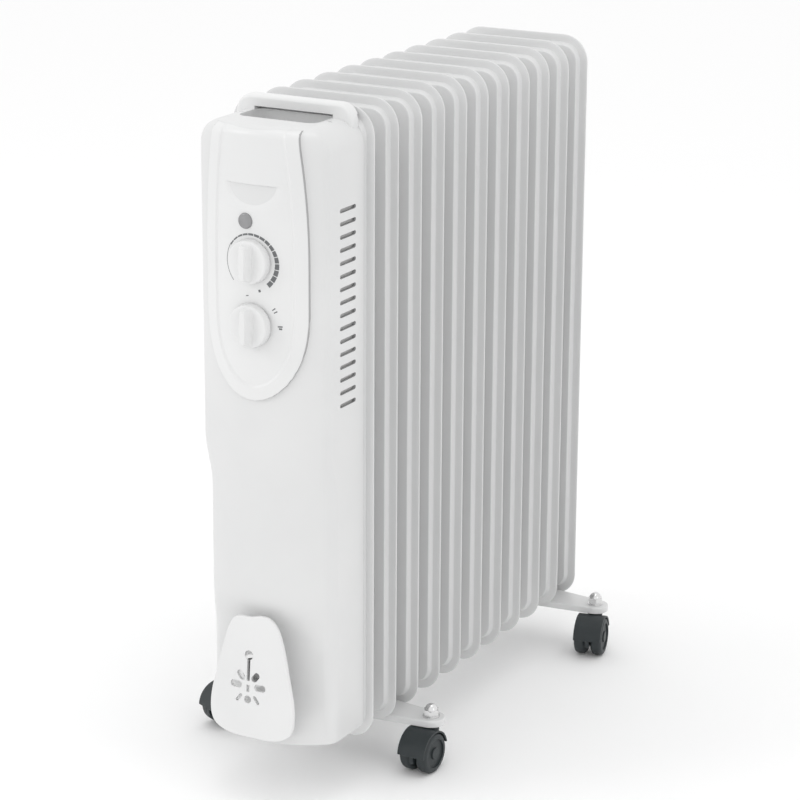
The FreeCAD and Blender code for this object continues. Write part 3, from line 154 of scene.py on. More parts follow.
class Finish:
    """One material. Object coordinates carry its patterns, in metres."""

    def __init__(self, name, **fixed):
        self.material = bpy.data.materials.new(name)
        self.material.use_nodes = True
        self.tree = self.material.node_tree
        self.shader = self.tree.nodes["Principled BSDF"]
        for socket, value in fixed.items():
            self.shader.inputs[socket.replace("_", " ")].default_value = value
        self.place = self.node("ShaderNodeTexCoord", {}, {}, "Object")

    def node(self, kind, settings, inputs, output=0):
        node = self.tree.nodes.new(kind)
        for key, value in settings.items():
            if key == "stops":
                self.set_stops(node.color_ramp, value)
            else:
                setattr(node, key, value)
        for key, value in inputs.items():
            if isinstance(value, Value):
                self.tree.links.new(value.socket, node.inputs[key])
            else:
                node.inputs[key].default_value = value
        return Value(self, node.outputs[output])

    @staticmethod
    def set_stops(ramp, stops):
        while len(ramp.elements) < len(stops):
            ramp.elements.new(0.5)
        for element, (position, colour) in zip(ramp.elements, stops):
            element.position = position
            element.color = colour

    def noise(self, scale, detail=3.0, rough=0.5):
        inputs = {"Vector": self.place, "Scale": scale, "Detail": detail, "Roughness": rough}
        return self.node("ShaderNodeTexNoise", {}, inputs)

    def between(self, value, low, high):
        """0 below low, 1 above high, smooth between."""
        inputs = {"Value": value, "From Min": low, "From Max": high}
        return self.node("ShaderNodeMapRange", {"interpolation_type": "SMOOTHSTEP"}, inputs)

    def mix(self, factor, first, second):
        settings = {"data_type": "RGBA"}
        return self.node("ShaderNodeMix", settings, {0: factor, 6: first, 7: second}, 2)

    def edges(self, radius):
        """1 along outside corners, 0 on flat ground, from a rounded normal."""
        settings = {"samples": 6}
        rounded = self.node("ShaderNodeBevel", settings, {"Radius": radius})
        true = self.node("ShaderNodeNewGeometry", {}, {}, "Normal")
        dot = self.node("ShaderNodeVectorMath", {"operation": "DOT_PRODUCT"},
                        {0: rounded, 1: true}, "Value")
        return self.between(1 - dot, 0.02, 0.25)

    def feed(self, **wires):
        for socket, value in wires.items():
            self.tree.links.new(value.socket, self.shader.inputs[socket.replace("_", " ")])

    def bump(self, height, distance, strength=1.0):
        inputs = {"Height": height, "Distance": distance, "Strength": strength}
        return self.node("ShaderNodeBump", {}, inputs)


print("finish language ready")

# %% [markdown]
# ## The finishes
# Baked enamel on pressed steel has a faint orange peel and is a little rougher on sharp edges, which
# are also painted lighter, a painted highlight.
# Moulded plastic has a fine spark-eroded grain and slow swirls of gloss. The casters are glass
# filled nylon, scuffed grey at their rims. Plated steel shows fine turning or drawing marks.


# %% Painted and moulded finishes
def enamel():
    f = Finish("baked_enamel", IOR=1.5, Coat_Weight=0.15, Coat_Roughness=0.12)
    slow = f.noise(7.0, 2.0)
    peel = f.noise(520.0, 2.0)
    fine = f.noise(2600.0, 2.0)
    edge = f.edges(0.0009)
    base = f.mix(slow, (0.665, 0.668, 0.670, 1), (0.715, 0.717, 0.716, 1))
    # Sharp edges are painted lighter: a painted highlight along the fin rims and crests.
    f.feed(Base_Color=f.mix(edge * 0.5, base, (0.82, 0.82, 0.815, 1)))
    f.feed(Roughness=(0.30 + 0.10 * slow + 0.05 * fine + edge * 0.08).clamp())
    f.feed(Normal=f.bump(peel + 0.25 * fine, 0.00012, 0.35))
    return f.material


def moulded(name, light, dark, gloss, grain):
    f = Finish(name, IOR=1.48)
    slow = f.noise(9.0, 3.0)
    cloud = f.noise(48.0, 2.0)
    spark = f.noise(3400.0, 2.0, 0.6)
    edge = f.edges(0.0008)
    base = f.mix(f.between(slow, 0.3, 0.7), dark, light)
    f.feed(Base_Color=f.mix(edge * 0.25, base, tuple(c * 0.93 for c in light[:3]) + (1,)))
    f.feed(Roughness=(gloss + 0.08 * (cloud - 0.5) + 0.05 * spark + 0.06 * edge).clamp())
    f.feed(Normal=f.bump(spark + 0.3 * cloud, 0.00006, grain))
    return f.material


ENAMEL = enamel()
SHELL = moulded("shell_plastic", (0.715, 0.717, 0.716, 1), (0.685, 0.688, 0.688, 1), 0.36, 0.30)
CONTROL = moulded("control_plastic", (0.755, 0.757, 0.756, 1), (0.725, 0.728, 0.728, 1), 0.30, 0.18)
print("white finishes:", ENAMEL.name, SHELL.name, CONTROL.name)


# %% Caster nylon, lens, rubber and fibre
def nylon():
    f = Finish("caster_nylon", IOR=1.5)
    cloud = f.noise(90.0, 3.0)
    grain = f.noise(2400.0, 2.0)
    edge = f.edges(0.0010)
    scuff = edge * f.between(f.noise(240.0, 3.0), 0.42, 0.62)
    base = f.mix(cloud, (0.013, 0.019, 0.021, 1), (0.024, 0.031, 0.034, 1))
    f.feed(Base_Color=f.mix(scuff * 0.6, base, (0.11, 0.12, 0.12, 1)))
    f.feed(Roughness=(0.36 + 0.16 * cloud + 0.10 * grain + 0.2 * scuff).clamp())
    f.feed(Normal=f.bump(grain + 0.5 * scuff, 0.00010, 0.4))
    return f.material


def lens_plastic():
    f = Finish("smoky_lens", IOR=1.49, Coat_Weight=0.6, Coat_Roughness=0.06)
    cells = f.node("ShaderNodeTexVoronoi", {}, {"Vector": f.place, "Scale": 900.0})
    cloud = f.noise(160.0, 2.0)
    f.feed(Base_Color=f.mix(cloud, (0.20, 0.20, 0.205, 1), (0.29, 0.29, 0.295, 1)))
    f.feed(Roughness=(0.16 + 0.10 * cloud).clamp())
    f.feed(Normal=f.bump(cells, 0.00015, 0.35))
    return f.material


def plain_compound(name, light, dark, gloss, scale):
    f = Finish(name)
    cloud = f.noise(scale, 4.0)
    grain = f.noise(scale * 14, 2.0)
    f.feed(Base_Color=f.mix(cloud, dark, light))
    f.feed(Roughness=(gloss + 0.12 * grain).clamp())
    f.feed(Normal=f.bump(grain + 0.4 * cloud, 0.00012, 0.4))
    return f.material


NYLON = nylon()
LENS = lens_plastic()
GASKET = plain_compound("gasket_rubber", (0.02, 0.02, 0.02, 1), (0.012, 0.012, 0.012, 1), 0.6, 130)
FIBRE = plain_compound("switch_moulding", (0.42, 0.38, 0.30, 1), (0.33, 0.30, 0.24, 1), 0.45, 90)
WIRE = plain_compound("wire_insulation", (0.10, 0.035, 0.02, 1), (0.06, 0.02, 0.012, 1), 0.4, 150)
INK = plain_compound("dial_ink", (0.17, 0.175, 0.18, 1), (0.12, 0.125, 0.13, 1), 0.5, 300)
# Mid grey for the walls of gaps and slots: painted shade that stands in for the shadow inside them.
PAINTED_GAP_SHADE = plain_compound("painted_gap_shade", (0.42, 0.42, 0.42, 1), (0.36, 0.36, 0.365, 1), 0.6, 200)
LINER = plain_compound("vent_liner", (0.52, 0.52, 0.515, 1), (0.45, 0.45, 0.445, 1), 0.55, 150)
print("dark finishes:", NYLON.name, LENS.name, GASKET.name, FIBRE.name, WIRE.name, INK.name)


# %% Metals
def metal(name, light, dark, gloss, stretch, wear):
    """Plated or bare metal: fine drawn lines along one way and soft blooms of dullness."""
    f = Finish(name, Metallic=1.0)
    drawn = f.node("ShaderNodeMapping", {}, {"Vector": f.place, "Scale": stretch})
    lines = f.node("ShaderNodeTexNoise", {}, {"Vector": drawn, "Scale": 900.0, "Detail": 3.0})
    bloom = f.noise(110.0, 3.0)
    edge = f.edges(0.0006)
    f.feed(Base_Color=f.mix((bloom * 0.7 + lines * 0.3 - edge * wear).clamp(), dark, light))
    f.feed(Roughness=(gloss + 0.12 * bloom + 0.08 * lines + edge * 0.05).clamp())
    f.feed(Normal=f.bump(lines, 0.00004, 0.25))
    return f.material


CHROME = metal("bright_plate", (0.80, 0.80, 0.80, 1), (0.66, 0.66, 0.66, 1), 0.10, (1, 1, 4), 0.1)
ZINC = metal("zinc_plate", (0.62, 0.63, 0.64, 1), (0.45, 0.46, 0.46, 1), 0.30, (4, 1, 1), 0.2)
SHEATH = metal("element_sheath", (0.42, 0.38, 0.34, 1), (0.28, 0.25, 0.23, 1), 0.4, (4, 1, 4), 0.2)
BRASS = metal("brass_contact", (0.70, 0.52, 0.24, 1), (0.55, 0.40, 0.18, 1), 0.25, (1, 4, 1), 0.2)
SLOT_FINISH = {
    "enamel": ENAMEL, "white_shell": SHELL, "white_control": CONTROL, "lens": LENS,
    "dark_plastic": NYLON, "plated_steel": ZINC, "bright_steel": CHROME,
    "element_steel": SHEATH, "brass_contact": BRASS, "gasket": GASKET, "insulator": FIBRE,
    "wire": WIRE,
}
print("metals:", CHROME.name, ZINC.name, SHEATH.name, BRASS.name)

# %% [markdown]
# ## The floor
# A studio floor is a roll of paper. A wide sheet with a very faint tooth is enough, because
# only the soft shadows under the casters fall on it.


# %% Floor
def floor_paper():
    f = Finish("floor_paper", Roughness=0.9)
    tooth = f.noise(300.0, 3.0)
    f.feed(Base_Color=f.mix(tooth, (0.96, 0.96, 0.96, 1), (0.975, 0.975, 0.975, 1)))
    f.feed(Normal=f.bump(tooth, 0.0001, 0.1))
    return f.material


def mesh_object(name, points, faces, finish):
    mesh = bpy.data.meshes.new(name)
    mesh.from_pydata([tuple(p) for p in points], [], faces)
    mesh.validate()
    mesh.materials.append(finish)
    thing = bpy.data.objects.new(name, mesh)
    scene.collection.objects.link(thing)
    return thing


REACH = 30.0
paper = mesh_object("floor", [(-REACH, -REACH, 0), (REACH, -REACH, 0), (REACH, REACH, 0),
                              (-REACH, REACH, 0)], [(0, 1, 2, 3)], floor_paper())
print("floor laid")

# %% [markdown]
# ## Taking over a CAD piece
# The CAD pieces have the right shape, but machined edges. A real moulding or pressing has
# small radii that catch the light. One way is to model every piece again; the quicker way,
# used for the small hardware, is to copy the CAD faces, merge them into whole faces, and
# round their sharp edges a little. The copy then stands for the CAD piece.


# %% Copying, merging and rounding
SLOT_OF = {part["node"]: part["material_slot"] for part in frame["record"]["subparts"]}
BODY_OF = {name: body for body, names in frame["record"]["behaviour"]["bodies"].items()
           for name in names}


def apply_modifiers(thing):
    """Bake the live modifiers into the mesh, so that only plain faces are left."""
    graph = bpy.context.evaluated_depsgraph_get()
    solid = bpy.data.meshes.new_from_object(thing.evaluated_get(graph))
    thing.modifiers.clear()
    thing.data = solid
    return thing


def shade(thing, angle=32.0):
    thing.data.shade_smooth()
    thing.data.set_sharp_from_angle(angle=math.radians(angle))
    return thing


def rounded(thing, width, segments=2, angle=32.0):
    """Round every edge sharper than the angle; width in millimetres."""
    bevel = thing.modifiers.new("round", "BEVEL")
    bevel.width = width / 1000
    bevel.segments = segments
    bevel.limit_method = "ANGLE"
    bevel.angle_limit = math.radians(angle)
    bevel.use_clamp_overlap = True
    bevel.harden_normals = True
    shade(thing, angle)
    return apply_modifiers(thing)


def copy_of(node, flat=0.6):
    """The CAD node's faces, merged into whole flat faces, in a new object."""
    work = bmesh.new()
    work.from_mesh(frame["nodes"][node].data)
    bmesh.ops.remove_doubles(work, verts=work.verts, dist=1e-5)
    bmesh.ops.dissolve_limit(work, angle_limit=math.radians(flat), verts=work.verts,
                             edges=work.edges, delimit={"NORMAL"})
    mesh = bpy.data.meshes.new(node + "_shape")
    work.to_mesh(mesh)
    work.free()
    mesh.materials.clear()
    mesh.materials.append(SLOT_FINISH[SLOT_OF[node]])
    thing = bpy.data.objects.new(node + "_finished", mesh)
    scene.collection.objects.link(thing)
    return thing


def hand_over(thing, *nodes, body=None, finish=None, slot=None):
    """The finished piece rides with its body and stands for the CAD nodes."""
    if finish:
        thing.data.materials.clear()
        thing.data.materials.append(finish)
    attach(thing, body or BODY_OF[nodes[0]])
    if nodes:
        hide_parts(*nodes)
    return len(thing.data.polygons)


# %% Every CAD piece gets its finish first
for node, thing in frame["nodes"].items():
    thing.data.materials.clear()
    thing.data.materials.append(SLOT_FINISH[SLOT_OF[node]])
print("finishes set on", len(frame["nodes"]), "pieces")

# %% [markdown]
# ## The fins
# A fin is two pressed steel halves seam-welded round a flat rim. Inside the rim the sheet
# slopes up to the oil space; long pressed valleys part the oil channels, and the sheet bosses
# out round the two headers. It could be a box with bevels, but the light on this heater comes
# from those soft slopes. So one half is a height over the fin's plane: rings of points follow
# the rim, the valleys and the bosses, a triangulation joins them, and each point is lifted by
# the same rule. Geometry Nodes then repeat the fin along the stack.

# %% The rule for the pressed sheet
FLANGE = 7.6
SLOPE = 2.4
RIM_ROLL = 0.75
PRESSED_RISE = BULGE - 1.15
CROWN_RISE = 0.35
CROWN_RUN = 9.0
BOSS_RISE = 0.30
BOSS_RADIUS = 27.0
VALLEY_X = 22.0
VALLEY_HALF = 6.0
VALLEY_LOW = 118.0
VALLEY_DEPTH = 4.6
VALLEY_SLOPE = 4.4
HEADERS = (46.0, 534.0)
TOP_RADIUS = 26.0
FOOT_RADIUS = 23.0


def smooth(t):
    t = min(max(t, 0.0), 1.0)
    return t * t * (3 - 2 * t)


def rim_distance(x, z):
    """How far a point lies inside the fin's outline."""
    radius = TOP_RADIUS if z > FIN_HEIGHT / 2 else FOOT_RADIUS
    dx = abs(x) - (FIN_WIDTH / 2 - radius)
    dz = abs(z - FIN_HEIGHT / 2) - (FIN_HEIGHT / 2 - radius)
    outside = math.hypot(max(dx, 0), max(dz, 0)) + min(max(dx, dz), 0)
    return radius - outside


def valley_distance(x, z):
    """Distance from the spine of the nearest pressed valley."""
    low = VALLEY_LOW + VALLEY_HALF
    dz = max(low - z, z - (FIN_HEIGHT - low), 0)
    return math.hypot(abs(x) - VALLEY_X, dz)


def sheet_height(x, z):
    """How far the sheet stands off the fin's middle plane."""
    d = rim_distance(x, z)
    rolled = RIM_ROLL * math.sqrt(max(0.0, 1 - (1 - min(d / RIM_ROLL, 1)) ** 2))
    pressed = smooth((d - FLANGE) / SLOPE)
    crown = CROWN_RISE * smooth((d - FLANGE - SLOPE) / CROWN_RUN)
    height = rolled + PRESSED_RISE * pressed + crown
    in_valley = VALLEY_HALF + VALLEY_SLOPE / 2 - valley_distance(x, z)
    height -= VALLEY_DEPTH * smooth(in_valley / VALLEY_SLOPE)
    for centre in HEADERS:
        r = math.hypot(x, z - centre)
        height += BOSS_RISE * smooth((BOSS_RADIUS - r) / 4.0) * pressed
    return min(height, BULGE)


print("sheet heights:", [round(sheet_height(71 - d, 300), 2) for d in (0, 1, 5, 8, 9, 10, 20)])


# %% One whole fin
SIDE_STEP = 24
RIM_INSETS = (0, 0.12, 0.4, 0.75, 4.0, 7.2, 7.7, 8.1, 8.5, 8.9, 9.3, 9.7, 10.1, 11.0, 12.5, 16.0)
VALLEY_OFFSETS = (3.6, 4.5, 5.4, 6.3, 7.2, 8.2, 9.4)
BOSS_RINGS = (22.6, 24.0, 25.5, BOSS_RADIUS)


def outline_ring(inset):
    """Points round the fin at an inset, evenly spread on its corners and sides."""
    ring = []
    quarter = [i / 9 for i in range(10)]
    for sx, sz, start in ((1, 1, 0), (-1, 1, 90), (-1, -1, 180), (1, -1, 270)):
        radius = TOP_RADIUS if sz > 0 else FOOT_RADIUS
        cx = sx * (FIN_WIDTH / 2 - radius)
        cz = FIN_HEIGHT / 2 + sz * (FIN_HEIGHT / 2 - radius)
        for t in quarter:
            a = math.radians(start + 90 * t)
            reach = radius - inset
            ring.append((cx + reach * math.cos(a), cz + reach * math.sin(a)))
    dense = []
    for (x0, z0), (x1, z1) in zip(ring, ring[1:] + ring[:1]):
        steps = max(1, round(math.hypot(x1 - x0, z1 - z0) / SIDE_STEP))
        dense += [(x0 + (x1 - x0) * k / steps, z0 + (z1 - z0) * k / steps) for k in range(steps)]
    return dense


def slot_ring(x, half):
    """Points round one long valley, at a distance from its spine."""
    low = VALLEY_LOW + VALLEY_HALF
    high = FIN_HEIGHT - low
    ring = []
    for z, start in ((high, 0), (low, 180)):
        for i in range(9):
            a = math.radians(start + 180 * i / 8)
            ring.append((x + half * math.cos(a), z + half * math.sin(a)))
        step = (low - high) / 13 if start == 0 else (high - low) / 13
        side = x - half if start == 0 else x + half
        ring += [(side, z + step * k) for k in range(1, 13)]
    return ring


def round_ring(z, radius, steps=28):
    return [(radius * math.cos(math.tau * i / steps), z + radius * math.sin(math.tau * i / steps))
            for i in range(steps)]


def fin_mesh():
    """Plan points and triangles of one face of the fin."""
    rings = [outline_ring(inset) for inset in RIM_INSETS]
    for x in (-VALLEY_X, VALLEY_X):
        rings += [slot_ring(x, half) for half in VALLEY_OFFSETS]
    for z in HEADERS:
        rings += [round_ring(z, radius) for radius in BOSS_RINGS]
    points = [Vector(p) for ring in rings for p in ring]
    points += [Vector((x, z)) for x in (-46, 0, 46) for z in range(90, 500, SIDE_STEP)]
    bounds = []
    base = 0
    for ring in rings:
        count = len(ring)
        bounds += [(base + i, base + (i + 1) % count) for i in range(count)]
        base += count
    verts, _, faces, *_ = delaunay_2d_cdt(points, bounds, [], 1, 1e-6)
    return verts, faces


flat_points, flat_faces = fin_mesh()
front = [at(x, -sheet_height(x, z), z) for x, z in flat_points]
rear = [at(x, sheet_height(x, z), z) for x, z in flat_points]
offset = len(front)
both = [tuple(f) for f in flat_faces] + [tuple(offset + i for i in reversed(f)) for f in flat_faces]
fin = mesh_object("fin_pattern", front + rear, both, ENAMEL)
weld = bmesh.new()
weld.from_mesh(fin.data)
bmesh.ops.remove_doubles(weld, verts=weld.verts, dist=2e-6)
bmesh.ops.recalc_face_normals(weld, faces=weld.faces)
weld.to_mesh(fin.data)
weld.free()
shade(fin, 80)
print("one fin:", len(fin.data.polygons), "faces")


# %% [markdown]
# ## Repeating a piece with Geometry Nodes
# A row of equal pieces is a line of points with the piece placed on each. The tree below takes
# the count and the step as named inputs, so the same tree serves any straight row.
# It ends by making the copies real and giving them their finish.

# %% The row tree
def new_tree(name, inputs):
    tree = bpy.data.node_groups.new(name, "GeometryNodeTree")
    tree.interface.new_socket("Geometry", in_out="INPUT", socket_type="NodeSocketGeometry")
    for label, kind in inputs:
        tree.interface.new_socket(label, in_out="INPUT", socket_type="NodeSocket" + kind)
    tree.interface.new_socket("Geometry", in_out="OUTPUT", socket_type="NodeSocketGeometry")
    return tree, tree.nodes.new("NodeGroupInput"), tree.nodes.new("NodeGroupOutput")


def wire(tree, kind, links, **settings):
    """A node with settings; links maps its input to a source socket or a fixed value."""
    node = tree.nodes.new(kind)
    for key, value in settings.items():
        setattr(node, key, value)
    for key, source in links.items():
        if isinstance(source, bpy.types.NodeSocket):
            tree.links.new(source, node.inputs[key])
        else:
            node.inputs[key].default_value = source
    return node


def row_tree(finish):
    tree, given, result = new_tree("row_of_pieces", [("Count", "Int"), ("Step", "Vector")])
    line = wire(tree, "GeometryNodeMeshLine", {"Count": given.outputs["Count"],
                                               "Offset": given.outputs["Step"]}, mode="OFFSET")
    placed = wire(tree, "GeometryNodeInstanceOnPoints", {"Points": line.outputs[0],
                                                         "Instance": given.outputs["Geometry"]})
    real = wire(tree, "GeometryNodeRealizeInstances", {0: placed.outputs[0]})
    painted = wire(tree, "GeometryNodeSetMaterial", {0: real.outputs[0], "Material": finish})
    tree.links.new(painted.outputs[0], result.inputs[0])
    return tree


def run_tree(thing, tree, **values):
    """Set the tree's named inputs by their identifiers, then keep the plain result."""
    modifier = thing.modifiers.new("nodes", "NODES")
    modifier.node_group = tree
    for item in tree.interface.items_tree:
        if item.item_type == "SOCKET" and item.in_out == "INPUT" and item.name in values:
            modifier[item.identifier] = values[item.name]
    return apply_modifiers(thing)


fin.name = "fin_stack"
run_tree(fin, row_tree(ENAMEL), Count=FIN_COUNT, Step=(0.0, FIN_PITCH / 1000, 0.0))
FINS = ["fin_%02d" % n for n in range(1, FIN_COUNT + 1)]
print("fin stack:", hand_over(fin, *FINS), "faces")

# %% [markdown]
# ## Weld beads on the header collars
# The collars between the fins are welded all round. A real bead is a chain of overlapping
# drops, so a small drop is repeated round a ring, and the ring at every fin along the stack.

# %% Beads
def bead_tree(finish):
    tree, given, result = new_tree("weld_beads", [("Drops", "Int"), ("Radius", "Float"),
                                                  ("Size", "Float"), ("Seed", "Int")])
    ring = wire(tree, "GeometryNodeMeshCircle", {"Vertices": given.outputs["Drops"],
                                                 "Radius": given.outputs["Radius"]})
    drop = wire(tree, "GeometryNodeMeshIcoSphere", {"Radius": given.outputs["Size"],
                                                    "Subdivisions": 2})
    random = wire(tree, "FunctionNodeRandomValue", {"Min": 0.8, "Max": 1.15,
                                                    "Seed": given.outputs["Seed"]})
    drops = wire(tree, "GeometryNodeInstanceOnPoints", {
        "Points": ring.outputs[0], "Instance": drop.outputs[0], "Scale": random.outputs[1]})
    upright = wire(tree, "GeometryNodeTransform", {0: drops.outputs[0],
                                                   "Rotation": (math.pi / 2, 0, 0)})
    chain = wire(tree, "GeometryNodeInstanceOnPoints", {"Points": given.outputs["Geometry"],
                                                        "Instance": upright.outputs[0]})
    real = wire(tree, "GeometryNodeRealizeInstances", {0: chain.outputs[0]})
    painted = wire(tree, "GeometryNodeSetMaterial", {0: real.outputs[0], "Material": finish})
    tree.links.new(painted.outputs[0], result.inputs[0])
    return tree


seats = []
for z in HEADERS:
    for gap in range(FIN_COUNT - 1):
        seats.append(at(0, gap * FIN_PITCH + BULGE, z))
        seats.append(at(0, (gap + 1) * FIN_PITCH - BULGE, z))
beads = mesh_object("header_weld_beads", seats, [], ENAMEL)
run_tree(beads, bead_tree(ENAMEL), Drops=30, Radius=0.0222, Size=0.0022, Seed=4)
shade(beads, 80)
print("weld beads:", hand_over(beads, body="radiator", slot="enamel"), "faces")

# %% [markdown]
# ## The housing
# The housing is one deep moulding: flat flanks, a gently crowned front, a waist that steps
# back below the controls, a hollow behind the cord plate and a lip at the foot. Subdividing a
# cage would drift from the real sizes, so it is lofted: at each height the plan outline is
# worked out from the same few dimensions, and the rings are joined. Slots and holes are then
# cut out with one Boolean.

# %% The housing's outline at each height
HALF = 63.5
HOUSE_LOW = 15.5
HOUSE_TOP = 570.0
SHOULDER = 22.0
BROW = 8.0
WALL = 2.5
FLANK_UPPER, FLANK_STEP = 65.8, 8.8
CROWN_UPPER, CROWN_STEP = 84.5, 8.5
CORNER_UPPER, CORNER_STEP = 9.0, 5.0
WAIST_TOP, WAIST_RUN = 290, 50
CORD_TOP = 134.0
CORD_HOLLOW, CORD_RUN = 10.0, 38
LIP, LIP_RISE, LIP_RUN = 17.0, 40, 34


def profile(z):
    """Half width, depth of the flank, depth of the crown and corner radius."""
    lower = smooth((WAIST_TOP - z) / WAIST_RUN)
    side = FLANK_UPPER - FLANK_STEP * lower
    crown = CROWN_UPPER - CROWN_STEP * lower
    corner = CORNER_UPPER + CORNER_STEP * lower
    crown -= CORD_HOLLOW * smooth((CORD_TOP + 12 - z) / CORD_RUN)
    crown += LIP * smooth((HOUSE_LOW + LIP_RISE - z) / LIP_RUN)
    half = HALF
    over = z - (HOUSE_TOP - SHOULDER)
    if over > 0:
        half -= SHOULDER - math.sqrt(max(SHOULDER ** 2 - over ** 2, 0))
    over = z - (HOUSE_TOP - BROW)
    if over > 0:
        drop = BROW - math.sqrt(max(BROW ** 2 - over ** 2, 0))
        side -= drop
        crown -= drop
    return half, side, crown, corner


def front_at(x, z, out=0.0):
    """Depth of the front face at a place, moved outwards by out."""
    half, side, crown, corner = profile(z)
    sag = crown - side
    radius = (half ** 2 + sag ** 2) / (2 * sag)
    return -(crown + out) + radius + out - math.sqrt((radius + out) ** 2 - x ** 2)


def plan_ring(z, wall=0.0, rear=-6.0):
    """The plan outline at one height: flanks, round corners and the crowned front."""
    half, side, crown, corner = profile(z)
    half, side, crown = half - wall, side - wall, crown - wall
    corner = max(corner - wall, 2.0)
    sag = crown - side
    radius = (half ** 2 + sag ** 2) / (2 * sag)
    turn = math.asin((half - corner) / (radius - corner))
    knuckle = radius - crown - (radius - corner) * math.cos(turn)
    right = [(half, rear), (half, (rear + knuckle) / 2)]
    for i in range(11):
        b = (math.pi / 2) + (turn - math.pi / 2) * i / 10
        right.append((half - corner + corner * math.sin(b), knuckle - corner * math.cos(b)))
    for i in range(1, 17):
        b = turn * (1 - i / 16)
        right.append((radius * math.sin(b), radius - crown - radius * math.cos(b)))
    left = [(-x, y) for x, y in reversed(right[:-1])]
    return [at(x, y, z) for x, y in right + left]


def heights(low, high):
    """Even steps up the housing, then closer ones round its shoulders."""
    levels = [low + (high - low - SHOULDER) * i / 110 for i in range(111)]
    rim = [high - SHOULDER * (1 - math.sin(math.pi / 2 * i / 16)) for i in range(1, 17)]
    return levels + rim


def loft(name, rings, finish):
    """Join rings of equal length into a closed skin with flat ends."""
    count = len(rings[0])
    points = [p for ring in rings for p in ring]
    faces = []
    for level in range(len(rings) - 1):
        a, b = level * count, (level + 1) * count
        faces += [(a + i, a + (i + 1) % count, b + (i + 1) % count, b + i) for i in range(count)]
    faces.append(tuple(range(count - 1, -1, -1)))
    faces.append(tuple((len(rings) - 1) * count + i for i in range(count)))
    thing = mesh_object(name, points, faces, finish)
    tidy = bmesh.new()
    tidy.from_mesh(thing.data)
    bmesh.ops.remove_doubles(tidy, verts=tidy.verts, dist=1e-6)
    bmesh.ops.recalc_face_normals(tidy, faces=tidy.faces)
    tidy.to_mesh(thing.data)
    tidy.free()
    return thing


housing = loft("housing", [plan_ring(z) for z in heights(HOUSE_LOW, HOUSE_TOP)], SHELL)
hollow = loft("hollow", [plan_ring(z, WALL, 20.0) for z in
                         heights(HOUSE_LOW + WALL, HOUSE_TOP - WALL)], SHELL)
print("housing skin:", len(housing.data.polygons), "faces")


# %% Cutters for slots and holes
VENT_COUNT = 16
VENT_PITCH = 11.45
VENT_TOP = 497.5
VENT_Y = -32.5
VENT_HALF_LENGTH = 13.4
VENT_HALF_HEIGHT = 1.85
THERMOSTAT_Z = 455.5
SELECTOR_Z = 399.5
LENS_X, LENS_Z = -5.5, 489.5
GLAND_X, GLAND_Y = -30, -32
HANDLE_NOTCH_X = 44
FOOT_SCREW_X, FOOT_SCREW_Y = 45, -20


def prism(outline, low, high, axis):
    """A straight bar of any outline along X, Y or Z; outline in the other two, in order."""
    order = {"x": lambda u, v, w: at(w, u, v), "y": lambda u, v, w: at(u, w, v),
             "z": lambda u, v, w: at(u, v, w)}[axis]
    rings = [[order(u, v, w) for u, v in outline] for w in (low, high)]
    return loft("cutter", rings, SHELL)


def stadium(u, v, half_u, half_v, steps=8):
    """Outline of a rounded slot, longer along u."""
    reach = half_u - half_v
    points = []
    for side in (1, -1):
        for i in range(steps + 1):
            a = math.pi * (i / steps - 0.5)
            points.append((u + side * (reach + half_v * math.cos(a)), v + side * half_v * math.sin(a)))
    return points


def disc(u, v, radius, steps=40):
    return [(u + radius * math.cos(math.tau * i / steps), v + radius * math.sin(math.tau * i / steps))
            for i in range(steps)]


def rounded_box(u0, u1, v0, v1, radius, steps=8):
    points = []
    for cu, cv, start in ((u1 - radius, v1 - radius, 0), (u0 + radius, v1 - radius, 90),
                          (u0 + radius, v0 + radius, 180), (u1 - radius, v0 + radius, 270)):
        for i in range(steps + 1):
            a = math.radians(start + 90 * i / steps)
            points.append((cu + radius * math.cos(a), cv + radius * math.sin(a)))
    return points


def cut(thing, tool):
    """Take the tool's shape away from the thing, then remove the tool."""
    step = thing.modifiers.new("cut", "BOOLEAN")
    step.operation = "DIFFERENCE"
    step.object = tool
    step.solver = "EXACT"
    apply_modifiers(thing)
    bpy.data.objects.remove(tool)
    return thing


def joined(things):
    """Several meshes as one object."""
    whole = bmesh.new()
    for thing in things:
        whole.from_mesh(thing.data)
    mesh = bpy.data.meshes.new("joined")
    whole.to_mesh(mesh)
    whole.free()
    for thing in things[1:]:
        bpy.data.objects.remove(thing)
    things[0].data = mesh
    return things[0]


print("vents on each side:", VENT_COUNT)

# %% Hollow the housing and cut its openings
RECESS_HALF = 39
RECESS_FRONT, RECESS_BACK = -46, -8.5
RECESS_LOW = HOUSE_TOP - 30
RECESS_CORNER = 9
SHAFT_HOLE, LENS_HOLE, GLAND_HOLE, SCREW_HOLE = 6.0, 5.3, 7.05, 2.1
FRONT_CUT = (-95, -60)
FLOOR_CUT = (HOUSE_LOW - 2, HOUSE_LOW + 6)
recess = rounded_box(-RECESS_HALF, RECESS_HALF, RECESS_FRONT, RECESS_BACK, RECESS_CORNER)
around_recess = rounded_box(-RECESS_HALF - WALL, RECESS_HALF + WALL, RECESS_FRONT - WALL,
                            RECESS_BACK + 3.5, RECESS_CORNER + 2)
recess_wall = prism(around_recess, RECESS_LOW - WALL, HOUSE_TOP + 5, "z")
cut(hollow, recess_wall)
cut(housing, hollow)
cutters = [prism(recess, RECESS_LOW, HOUSE_TOP + 20, "z")]
for k in range(VENT_COUNT):
    slot = stadium(VENT_Y, VENT_TOP - VENT_PITCH * k, VENT_HALF_LENGTH, VENT_HALF_HEIGHT)
    cutters += [prism(slot, 50, 70, "x"), prism(slot, -70, -50, "x")]
for x in (-HANDLE_NOTCH_X, HANDLE_NOTCH_X):
    cutters.append(prism(rounded_box(x - 2.4, x + 2.4, -30.5, -28.7, 0.3), 560, 575, "z"))
for z in (THERMOSTAT_Z, SELECTOR_Z):
    cutters.append(prism(disc(0, z, SHAFT_HOLE), *FRONT_CUT, "y"))
